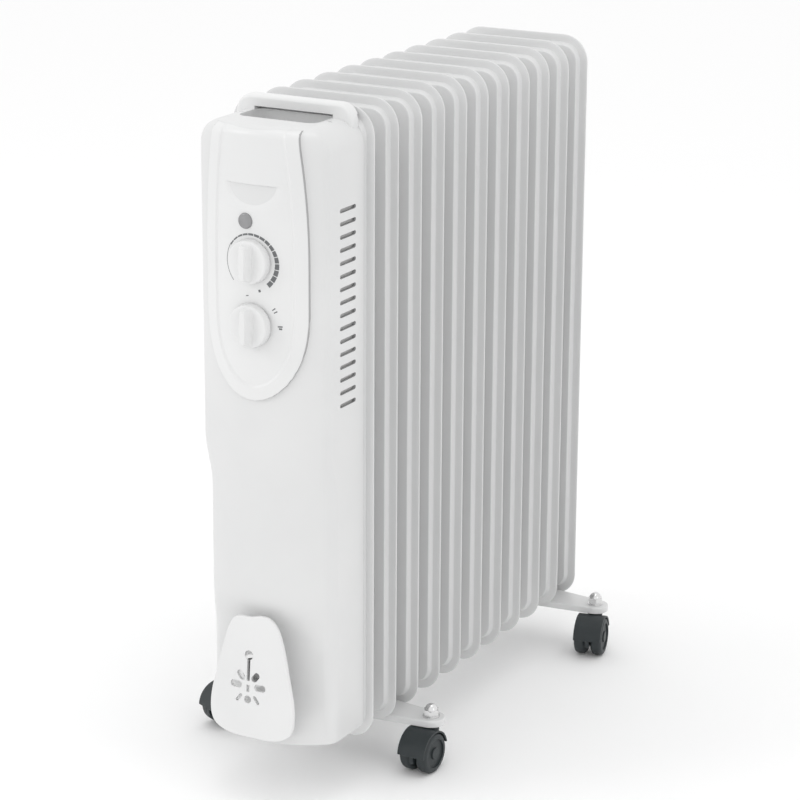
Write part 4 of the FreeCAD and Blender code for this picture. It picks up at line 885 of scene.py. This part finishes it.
cutters.append(prism(disc(LENS_X, LENS_Z, LENS_HOLE), *FRONT_CUT, "y"))
cutters.append(prism(disc(GLAND_X, GLAND_Y, GLAND_HOLE), *FLOOR_CUT, "z"))
for x in (-FOOT_SCREW_X, FOOT_SCREW_X):
    cutters.append(prism(disc(x, FOOT_SCREW_Y, SCREW_HOLE), *FLOOR_CUT, "z"))
cut(housing, joined(cutters))
print("housing cut:", len(housing.data.polygons), "faces")

# %% Painted shade on the walls inside the vents, and even light on the flat flanks
housing.data.materials.append(PAINTED_GAP_SHADE)
vents_low, vents_high = at(50, -46, 320), at(70, -19, 502)
# The vents' inner walls get the grey of painted shade.
for face in housing.data.polygons:
    x, y, z = face.center
    beside = vents_low.x < abs(x) < vents_high.x and abs(face.normal.x) < 0.5
    if beside and vents_low.y < y < vents_high.y and vents_low.z < z < vents_high.z:
        face.material_index = 1
weighted = housing.modifiers.new("even_light", "WEIGHTED_NORMAL")
weighted.keep_sharp = True
shade(housing, 35)
apply_modifiers(housing)
print("housing:", hand_over(housing, "housing_shell"), "faces")

# %% [markdown]
# A thin liner stands a few millimetres behind each row of vents and keeps fingers off the
# wiring. It is what shows through the slots, so they look grey and not black.

# %% The liner behind the vents
LINER_NEAR, LINER_FAR = 59.7, 60.4
LINER_LOW, LINER_HIGH = 316, 507
LINER_REACH = 16.5
liner_outline = rounded_box(VENT_Y - LINER_REACH, VENT_Y + LINER_REACH, LINER_LOW, LINER_HIGH, 2)
liner = joined([prism(liner_outline, LINER_NEAR, LINER_FAR, "x"),
                prism(liner_outline, -LINER_FAR, -LINER_NEAR, "x")])
liner.name = "vent_liners"
liner.data.materials.clear()
liner.data.materials.append(LINER)
shade(liner)
print("vent liners:", hand_over(liner, body="radiator", slot="insulator"), "faces")

# %% [markdown]
# ## The control fascia
# A second moulding, shaped like a tongue, lies on the front. A broad band runs round its edge,
# and the middle is sunk, with the controls on it and a scooped field for a label above them.
# Rings of points run along its edge at set insets, rows of points cross the middle, and a
# triangulation joins them. Each point's depth is the housing's front plus the band's height.

# %% The fascia's surface
FASCIA_LOW = 333.0
FASCIA_TOP = 568.5
FASCIA_WIDE = 455.0
BAND = 13.5
TONGUE = 74.0
TONGUE_HALF = 50.1
EDGE_RISE = TONGUE + 2
SUNK = 1.3
LABEL_TOP = 521.5
LABEL_HALF = 28.5
LABEL_DROP = 24.0


def fascia_half(z):
    """Half width of the tongue: narrower to the top, round at the foot."""
    t = max(z - FASCIA_WIDE, 0) / (HOUSE_TOP - FASCIA_WIDE)
    low = FASCIA_LOW + TONGUE
    half = 50.5 - 9.0 * t * t
    if z < low:
        drop = (low - z) / TONGUE
        half = TONGUE_HALF * math.sqrt(max(1 - drop ** 2.1, 0))
    return half


def band_height(inset):
    """Upright wall, small shoulder, slightly sloping band, then a step to the sunk middle."""
    if inset < 0.02:
        return -0.4
    shoulder = 2.1 + 0.8 * math.sqrt(max(1 - (1 - min(inset / 0.9, 1)) ** 2, 0))
    step = smooth((inset - BAND + 3.0) / 3.0)
    return shoulder * (1 - 0.05 * inset / BAND) * (1 - step) + SUNK * step


def label_dip(x, z):
    """Scoop with a crisp upper edge, round below like a smile, that fades out downwards."""
    down = LABEL_TOP - z
    if down < 0:
        return 0.0
    inside = 1 - (x / LABEL_HALF) ** 2 - (down / LABEL_DROP) ** 2
    return 3.2 * smooth(down / 0.9) * smooth(inside * 1.3) * (1 - 0.30 * smooth(down / 18))


EDGE = [(fascia_half(z), z) for z in [FASCIA_LOW + 0.4 * i for i in range(190)]]


def inset_at(x, z):
    """How far a place lies inside the tongue's edge."""
    if z > FASCIA_LOW + EDGE_RISE:
        return fascia_half(z) - abs(x)
    return min(math.hypot(abs(x) - ex, z - ez) for ex, ez in EDGE)


BAND_INSETS = (0, 0.25, 0.7, 1.3, 5.0, 9.8, 10.5, 11.3, 12.2, 13.0, 13.6, 16.0)


def fascia_rings():
    """The right half of each ring that follows the edge, from the top to the foot."""
    rings = []
    for inset in BAND_INSETS:
        ring = []
        for i in range(61):
            z = FASCIA_TOP + (FASCIA_LOW + EDGE_RISE - FASCIA_TOP) * i / 60
            ring.append((fascia_half(z) - inset, z))
        for i in range(1, 33):
            a = math.pi / 2 * i / 32
            z = FASCIA_LOW + EDGE_RISE - EDGE_RISE * math.sin(a)
            x = fascia_half(max(z, FASCIA_LOW + 0.001))
            nx, nz = math.cos(a) / TONGUE_HALF, math.sin(a) / EDGE_RISE
            norm = math.hypot(nx, nz)
            px, pz = x - inset * nx / norm, z + inset * nz / norm
            ring.append((max(px, 0.0) if i < 32 else 0.0, pz))
        rings.append(ring)
    return rings


print("fascia's edge rings:", len(fascia_rings()))

# %% Points, chains and triangles of the fascia
LABEL_ROWS = (523, 521.5, 521.2, 520.9, 520.6, 520.2, 519.2, 517, 514, 511, 508, 505, 502, 499, 497.3)
BROW_ROWS = (526, 536, 546, 556, 560, 562, 563.5, 565, 566.2, 567.3)
HOLES = ((0, THERMOSTAT_Z, 6.2), (0, SELECTOR_Z, 6.2), (LENS_X, LENS_Z, 6.95))
flat = []
chains = []


def chain(places, closed=False):
    """Add a row of points that the triangulation keeps joined."""
    start = len(flat)
    flat.extend(Vector(place) for place in places)
    chains.extend((i, i + 1) for i in range(start, len(flat) - 1))
    if closed:
        chains.append((len(flat) - 1, start))


for ring in fascia_rings():
    chain(ring + [(-x, z) for x, z in reversed(ring[:-1])], closed=not flat)
for z in LABEL_ROWS:
    chain([(x, z) for x in range(-30, 31, 2)])
for z in BROW_ROWS:
    chain([(x, z) for x in range(-24, 25, 3)])
for x, z, radius in HOLES:
    chain(disc(x, z, radius, 48), closed=True)
flat += [Vector((x, z)) for x in range(-30, 31, 6) for z in range(352, 496, 8)]
verts, _, faces, *_ = delaunay_2d_cdt(flat, chains, [], 1, 1e-6)
kept = []
for face in faces:
    middle = sum((verts[i] for i in face), Vector((0, 0))) / len(face)
    in_hole = any(math.hypot(middle.x - x, middle.y - z) < r - 0.05 for x, z, r in HOLES)
    if not in_hole and inset_at(middle.x, middle.y) > 0.01 and middle.y < FASCIA_TOP:
        if abs(middle.x) < fascia_half(middle.y):
            kept.append(tuple(face))
print("fascia plan:", len(kept), "triangles")

# %% The fascia lifted off the front, with its rim turned down
RIM_DEPTH = 0.0016
surface = []
for x, z in verts:
    out = band_height(max(inset_at(x, z), 0)) if abs(x) < fascia_half(z) else 0.0
    surface.append(at(x, front_at(x, z) - out + label_dip(x, z), z))
fascia = mesh_object("fascia", surface, kept, CONTROL)
clean = bmesh.new()
clean.from_mesh(fascia.data)
bmesh.ops.delete(clean, geom=[v for v in clean.verts if not v.link_faces], context="VERTS")
rims = [e for e in clean.edges if e.is_boundary]
skirt = bmesh.ops.extrude_edge_only(clean, edges=rims)["geom"]
for vert in [g for g in skirt if isinstance(g, bmesh.types.BMVert)]:
    vert.co.y += RIM_DEPTH
bmesh.ops.recalc_face_normals(clean, faces=clean.faces)
clean.to_mesh(fascia.data)
clean.free()
if sum(p.normal.y * p.area for p in fascia.data.polygons) > 0:
    fascia.data.flip_normals()
# The fascia's upright rim is painted grey: painted shade for the shadow in the seam round its edge.
fascia.data.materials.append(PAINTED_GAP_SHADE)
for face in fascia.data.polygons:
    inset = inset_at(face.center.x * 1000, face.center.z * 1000 - FIN_LIFT)
    if abs(face.normal.y) < 0.6 and inset < 0.5:
        face.material_index = 1
shade(fascia, 42)
print("fascia:", hand_over(fascia, "control_fascia"), "faces")

# %% [markdown]
# ## Marks round the knobs
# The scale is printed, so it is a thin film on the sunk face: a wedge of graduated blocks that
# thickens as the heat rises, a fine line closing the circle, and small generic setting marks.
# Each mark is a flat patch whose points follow the front's curve a hair above it.

# %% Dial marks
def patch(outline, lift=0.06):
    """A thin flat shape that follows the sunk face."""
    return [at(x, front_at(x, z) - SUNK - lift, z) for x, z in outline]


def sector(cx, cz, inner, outer, start, end):
    """Ring sector, angles clockwise from the top in degrees; radii may change along it."""
    steps = max(2, round(abs(end - start) / 3))
    near, far = [], []
    for i in range(steps + 1):
        t = i / steps
        a = math.radians(start + (end - start) * t)
        r0 = inner[0] + (inner[1] - inner[0]) * t
        r1 = outer[0] + (outer[1] - outer[0]) * t
        near.append((cx + r0 * math.sin(a), cz + r0 * math.cos(a)))
        far.append((cx + r1 * math.sin(a), cz + r1 * math.cos(a)))
    return near + far[::-1]


def strip_faces(start, count):
    """Quads across a patch, from its near side to its far side."""
    half = count // 2
    return [(start + i, start + i + 1, start + count - 2 - i, start + count - 1 - i)
            for i in range(half - 1)]


SCALE_X, SCALE_Z = -0.6, 453.8
SCALE_RADIUS = 24.6
SCALE_STEPS = 15
SCALE_STEP = 13.2
SCALE_START = -58
marks = [sector(SCALE_X, SCALE_Z, (25.0, 25.0), (25.5, 25.5), 226, 306)]
for k in range(SCALE_STEPS):
    start = SCALE_START + k * SCALE_STEP
    wide = 1.0 + 3.0 * smooth((k + 1) / SCALE_STEPS)
    near, far = SCALE_RADIUS - wide / 2, SCALE_RADIUS + wide / 2
    marks.append(sector(SCALE_X, SCALE_Z, (near, near - 0.1), (far, far + 0.1), start, start + 11.6))
marks.append(sector(SCALE_X, SCALE_Z, (24.0, 24.0), (26.2, 26.2), 158, 163))
SETTING_BARS = ((25.2, 26.0, -13, -7), (24.3, 27.8, 51.8, 53.8), (24.3, 27.8, 58.2, 60.2),
                (24.2, 28.4, 86.5, 89), (25.2, 28.0, 90.5, 93.5))
for near, far, start, end in SETTING_BARS:
    marks.append(sector(0, SELECTOR_Z, (near, near), (far, far), start, end))
points, faces = [], []
for mark in marks:
    faces += strip_faces(len(points), len(mark))
    points += patch(mark)
dial_marks = mesh_object("dial_marks", points, faces, INK)
if sum(p.normal.y * p.area for p in dial_marks.data.polygons) > 0:
    dial_marks.data.flip_normals()
print("dial marks:", hand_over(dial_marks, body="radiator", slot="dark_plastic"), "faces")

# %% [markdown]
# ## Knobs
# A knob is a low drum with a raised bar to hold. The bar's flanks run down into the drum in a
# soft curve, and its ends die out before the rim. It is a polar height map: rings of points,
# each lifted by a rule, which gives the blended flanks that a box joined to a drum lacks.

# %% Knob surface
KNOB_RADIUS = 19.2
KNOB_BACK = -(CROWN_UPPER + SUNK + 0.8)
SKIRT = 7.5
FACE_RADIUS = 17.2
DISH_RADIUS, DISH = 16.0, 0.5
GRIP = 8.5
GRIP_END = 17.0
GRIP_HALF, GRIP_BELLY = 3.1, 1.1


def knob_height(x, z):
    """Height above the back of the knob."""
    r = math.hypot(x, z)
    drum = SKIRT - 1.3 * smooth((r - FACE_RADIUS) / 2.0) ** 2
    dish = DISH * smooth((DISH_RADIUS - r) / 8.0)
    half = GRIP_HALF + GRIP_BELLY * (1 - (z / GRIP_END) ** 2)
    rise = smooth((half + 1.6 - abs(x)) / 3.0)
    ends = smooth((GRIP_END - abs(z)) / 2.6)
    crown = 1 - 0.08 * (z / GRIP_END) ** 2
    return drum - dish * (1 - rise) + GRIP * rise * ends * crown


def knob_object(name, z0):
    """Rings of points over the face, then round the side and under the skirt."""
    radii = [0.0] + [0.8 * i for i in range(1, 22)] + [FACE_RADIUS, 17.7, 18.1, 18.4]
    around = 96
    points = [at(0, KNOB_BACK - knob_height(0, 0), z0)]
    faces = []
    for r in radii[1:]:
        for i in range(around):
            a = math.tau * i / around
            x, z = r * math.cos(a), r * math.sin(a)
            points.append(at(x, KNOB_BACK - knob_height(x, z), z0 + z))
    sides = [(18.55, SKIRT - 0.9), (18.75, SKIRT - 1.5), (KNOB_RADIUS, 0.5),
             (KNOB_RADIUS - 0.1, 0.15), (KNOB_RADIUS - 0.5, 0.0), (3.0, 0.0), (3.0, 4.0)]
    for r, h in sides:
        for i in range(around):
            a = math.tau * i / around
            points.append(at(r * math.cos(a), KNOB_BACK - h, z0 + r * math.sin(a)))
    faces += [(0, 1 + i, 1 + (i + 1) % around) for i in range(around)]
    loops = len(radii) - 1 + len(sides)
    for level in range(loops - 1):
        a, b = 1 + level * around, 1 + (level + 1) * around
        faces += [(a + i, b + i, b + (i + 1) % around, a + (i + 1) % around) for i in range(around)]
    end = 1 + (loops - 1) * around
    faces.append(tuple(end + i for i in range(around)))
    thing = mesh_object(name, points, faces, CONTROL)
    fix = bmesh.new()
    fix.from_mesh(thing.data)
    bmesh.ops.recalc_face_normals(fix, faces=fix.faces)
    fix.to_mesh(thing.data)
    fix.free()
    return shade(thing, 50)


for kind, z0 in (("thermostat", THERMOSTAT_Z), ("selector", SELECTOR_Z)):
    knob = knob_object(kind + "_grip", z0)
    print(knob.name, hand_over(knob, kind + "_knob"), "faces")

# %% [markdown]
# ## Handle, cord plate and lens
# These three keep the CAD's shape, which is already right in plan. Their copies get the small
# radii of a moulding, so that the slit under the handle and the vents of the rosette catch a
# thin line of light along their edges.

# %% Rounded mouldings
for node, width in (("carry_handle", 0.8), ("cord_wrap_plate", 0.5), ("indicator_lens", 0.3),
                    ("cord_gland", 0.4), ("front_foot_bracket", 0.35),
                    ("rear_foot_bracket", 0.35)):
    piece = rounded(copy_of(node), width)
    print(node, hand_over(piece, node), "faces")

# %% [markdown]
# ## Casters
# Each caster is a pair of nylon discs under a shared hood. The hood follows the treads with a
# small gap and leaves a notch between the discs. The disc faces are dished and every edge is
# soft, so hoods, wheels and axles get rounded copies of the CAD's pieces.

# %% Hoods, wheels and axles
FEET = ("front_left", "front_right", "rear_left", "rear_right")
for foot in FEET:
    for part, width in (("hood", 0.4), ("wheel_left", 0.35), ("wheel_right", 0.35), ("axle", 0.2)):
        node = foot + "_caster_" + part
        piece = rounded(copy_of(node), width)
        faces = hand_over(piece, node)
    print(foot, "caster done, last piece", faces, "faces")

# %% [markdown]
# ## Hardware
# Nuts, bolts and screws keep their CAD shape, with the smallest radii that plating leaves.

# %% Nuts, stems and screws
for node, width in (("caster_cap_nuts", 0.3), ("caster_stems", 0.2), ("foot_wing_nuts", 0.4),
                    ("foot_u_bolts", 0.2), ("oil_filler_plug", 0.4), ("housing_screws", 0.15),
                    ("element_flange", 0.4), ("back_plate", 0.2)):
    piece = rounded(copy_of(node), width)
    print(node, hand_over(piece, node), "faces")
